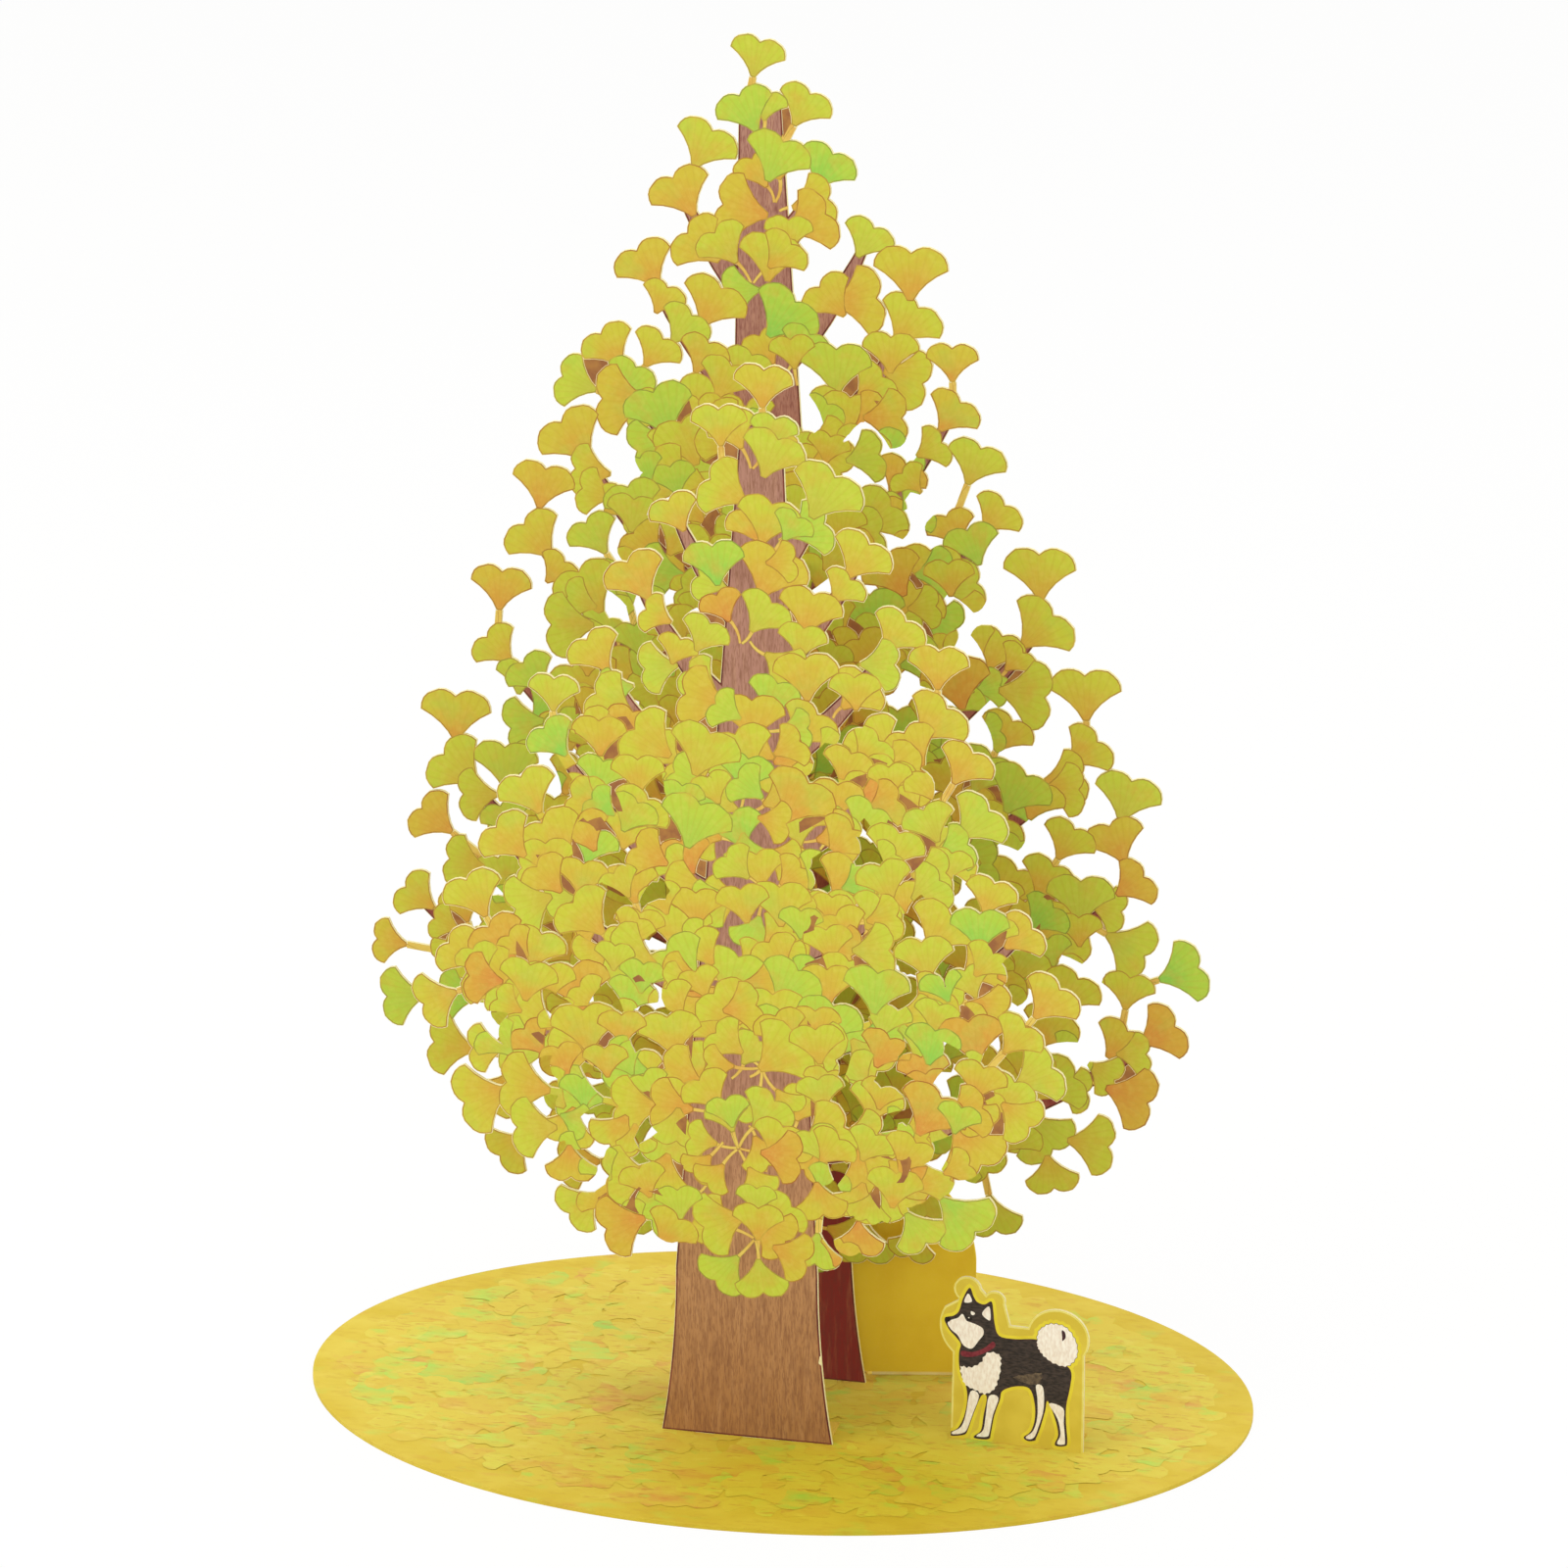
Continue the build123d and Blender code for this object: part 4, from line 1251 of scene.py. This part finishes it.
def scatter_tree(leaf):
    """Geometry Nodes: leaves spread over an oval, each turned, sized and tinted by a seed."""
    tree = bpy.data.node_groups.new("fallen_leaves", "GeometryNodeTree")
    tree.interface.new_socket("Geometry", in_out="OUTPUT", socket_type="NodeSocketGeometry")
    for label in ("Length", "Width", "Height", "Spacing", "Leaf width", "Ink layer"):
        tree.interface.new_socket(label, in_out="INPUT", socket_type="NodeSocketFloat")
    tree.interface.new_socket("Seed", in_out="INPUT", socket_type="NodeSocketInt")
    tree.interface.new_socket("Ink", in_out="INPUT", socket_type="NodeSocketMaterial")
    given = tree.nodes.new("NodeGroupInput").outputs

    disc = node(tree, "GeometryNodeMeshCircle", {"Vertices": 96, "Radius": 0.5}, fill_type="NGON")
    size = node(tree, "ShaderNodeCombineXYZ", {"X": given["Length"], "Y": given["Width"], "Z": 1.0})
    flat = node(tree, "GeometryNodeTransform", {"Geometry": disc, "Scale": size})
    seats = node(
        tree,
        "GeometryNodeDistributePointsOnFaces",
        {"Mesh": flat, "Distance Min": given["Spacing"], "Density Max": DENSEST, "Seed": given["Seed"]},
        distribute_method="POISSON",
    )
    turn = node(tree, "FunctionNodeRandomValue", {2: 0.0, 3: 2 * pi, "Seed": 1}, 1)
    least, most = FALLEN_WIDTHS
    grow = node(tree, "FunctionNodeRandomValue", {2: least, 3: most, "Seed": 2}, 1)
    width = node(tree, "ShaderNodeMath", {0: given["Leaf width"], 1: grow}, operation="MULTIPLY")
    set_out = node(
        tree,
        "GeometryNodeInstanceOnPoints",
        {
            "Points": seats,
            "Instance": node(tree, "GeometryNodeObjectInfo", {"Object": leaf}, "Geometry"),
            "Rotation": node(tree, "ShaderNodeCombineXYZ", {"Z": turn}),
            "Scale": node(tree, "ShaderNodeCombineXYZ", {"X": width, "Y": width, "Z": given["Ink layer"]}),
        },
    )
    # Each leaf lies a hair above the one before it, so that no two share a height
    count = node(tree, "GeometryNodeInputIndex")
    layer = node(
        tree,
        "ShaderNodeMath",
        {0: count, 1: LEAF_STEP, 2: given["Height"]},
        operation="MULTIPLY_ADD",
    )
    raised = node(
        tree,
        "GeometryNodeTranslateInstances",
        {
            "Instances": set_out,
            "Translation": node(tree, "ShaderNodeCombineXYZ", {"Z": layer}),
            "Local Space": False,
        },
    )
    limits = {0: (0, 0, 0), 1: (1, 1, 1), "Seed": 3}
    chance = node(tree, "FunctionNodeRandomValue", limits, data_type="FLOAT_VECTOR")
    tinted = node(
        tree,
        "GeometryNodeStoreNamedAttribute",
        {"Geometry": raised, "Name": "tint", "Value": chance},
        data_type="FLOAT_VECTOR",
        domain="INSTANCE",
    )
    real = node(tree, "GeometryNodeRealizeInstances", {"Geometry": tinted})
    inked = node(tree, "GeometryNodeSetMaterial", {"Geometry": real, "Material": given["Ink"]})
    tree.links.new(inked, tree.nodes.new("NodeGroupOutput").inputs[0])
    return tree


def fallen_leaves():
    """The printed leaves that lie on the oval, as one plain mesh."""
    leaf = fallen_leaf("fallen_leaf_pattern")
    tree = scatter_tree(leaf)
    holder = added("fallen_leaves_holder", bpy.data.meshes.new("fallen_leaves_holder"))
    low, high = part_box("base_oval")
    values = {
        "Length": high[0] - low[0] - 2 * FALLEN_MARGIN,
        "Width": high[1] - low[1] - 2 * FALLEN_MARGIN,
        "Height": high[2] + 0.002 * MM,
        "Spacing": 2.8 * MM,
        "Leaf width": 7.4 * MM,
        "Ink layer": 0.005 * MM,
        "Seed": 4,
        "Ink": fallen_print,
    }
    modifier = holder.modifiers.new("fallen_leaves", "NODES")
    modifier.node_group = tree
    for item in tree.interface.items_tree:
        if item.in_out == "INPUT":
            modifier[item.identifier] = values[item.name]
    seen = holder.evaluated_get(bpy.context.evaluated_depsgraph_get())
    mesh = bpy.data.meshes.new_from_object(seen)
    mesh.name = "fallen_leaves"
    bpy.data.objects.remove(holder)
    bpy.data.objects.remove(leaf)
    piece = added("fallen_leaves", mesh)
    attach(piece, "root")


fallen_leaves()


# The pieces that keep the model's own shape

for name, finish in (
    ("base_oval", ground_print),
    ("back_prop", mustard_print),
    ("upper_link", plain_back),
    ("lower_link", plain_back),
):
    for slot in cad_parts[name].material_slots:
        slot.material = finish


# Camera, from the oval's outline in the photograph

AIM = (0.49, 0.12, 80.2)
DISTANCE = 900.0
SIDE = radians(13.75)
RISE = radians(18.12)
FOCAL_LENGTH = 168.4
SENSOR_WIDTH = 36.0


def looking(name, data, place, target):
    """A camera or lamp at a place, turned to a target."""
    made = added(name, data)
    made.location = Vector(place) * MM
    made.rotation_euler = (Vector(target) - Vector(place)).to_track_quat("-Z", "Y").to_euler()
    return made


eye = (
    AIM[0] + DISTANCE * sin(SIDE) * cos(RISE),
    AIM[1] - DISTANCE * cos(SIDE) * cos(RISE),
    AIM[2] + DISTANCE * sin(RISE),
)
lens = bpy.data.cameras.new("camera")
lens.lens = FOCAL_LENGTH
lens.sensor_width = SENSOR_WIDTH
lens.clip_start = 10 * MM
bpy.context.scene.camera = looking("camera", lens, eye, AIM)


# Light: soft windows at the front left, at the right and above, in a pale room

LAMP_AIM = (0, 0, 70)
ROOM_LIGHT = 0.8
TABLE_HALF = 3.0  # metres


def window(name, place, size, watts):
    """A square window turned to the middle of the trees."""
    data = bpy.data.lights.new(name, "AREA")
    data.shape = "SQUARE"
    data.size = size * MM
    data.energy = watts
    return looking(name, data, place, LAMP_AIM)


window("window_left", (-620, -700, 480), size=500, watts=1.7)
window("window_right", (700, -600, 500), size=600, watts=0.95)
window("window_above", (-100, 0, 900), size=700, watts=3.1)


def white_where_seen(tree, lit, share):
    """The shader as it is lit, and white where the camera or a reflection sees it."""
    seen = node(tree, "ShaderNodeLightPath", out="Is Camera Ray")
    mirrored = node(tree, "ShaderNodeLightPath", out="Is Glossy Ray")
    either = node(tree, "ShaderNodeMath", {0: seen, 1: mirrored}, operation="MAXIMUM")
    part = node(tree, "ShaderNodeMath", {0: either, 1: share}, operation="MULTIPLY")
    white = node(tree, "ShaderNodeEmission", {"Color": (1, 1, 1, 1), "Strength": 1.0})
    return node(tree, "ShaderNodeMixShader", {0: part, 1: lit, 2: white})


def pale_room():
    """Even light from everywhere, on a white ground."""
    world = bpy.data.worlds.new("pale_room")
    world.use_nodes = True
    tree = world.node_tree
    plain = tree.nodes["Background"]
    plain.inputs["Color"].default_value = colour("fffdf8")
    plain.inputs["Strength"].default_value = ROOM_LIGHT
    shader = white_where_seen(tree, plain.outputs[0], 1.0)
    tree.links.new(shader, tree.nodes["World Output"].inputs["Surface"])
    bpy.context.scene.world = world


def table_top():
    """A white table that keeps a soft shadow of the card."""
    mesh = bpy.data.meshes.new("table_top")
    corners = [(TABLE_HALF * x, TABLE_HALF * y, 0) for x, y in ((-1, -1), (1, -1), (1, 1), (-1, 1))]
    mesh.from_pydata(corners, [], [(0, 1, 2, 3)])
    material = bpy.data.materials.new("white_laminate")
    material.use_nodes = True
    tree = material.node_tree
    lit = tree.nodes["Principled BSDF"]
    lit.inputs["Base Color"].default_value = colour("f2f2f0")
    lit.inputs["Roughness"].default_value = 0.9
    shader = white_where_seen(tree, lit.outputs[0], 0.9)
    tree.links.new(shader, tree.nodes["Material Output"].inputs["Surface"])
    mesh.materials.append(material)
    top = added("table_top", mesh)


pale_room()
table_top()

bpy.context.scene.view_settings.view_transform = "Standard"
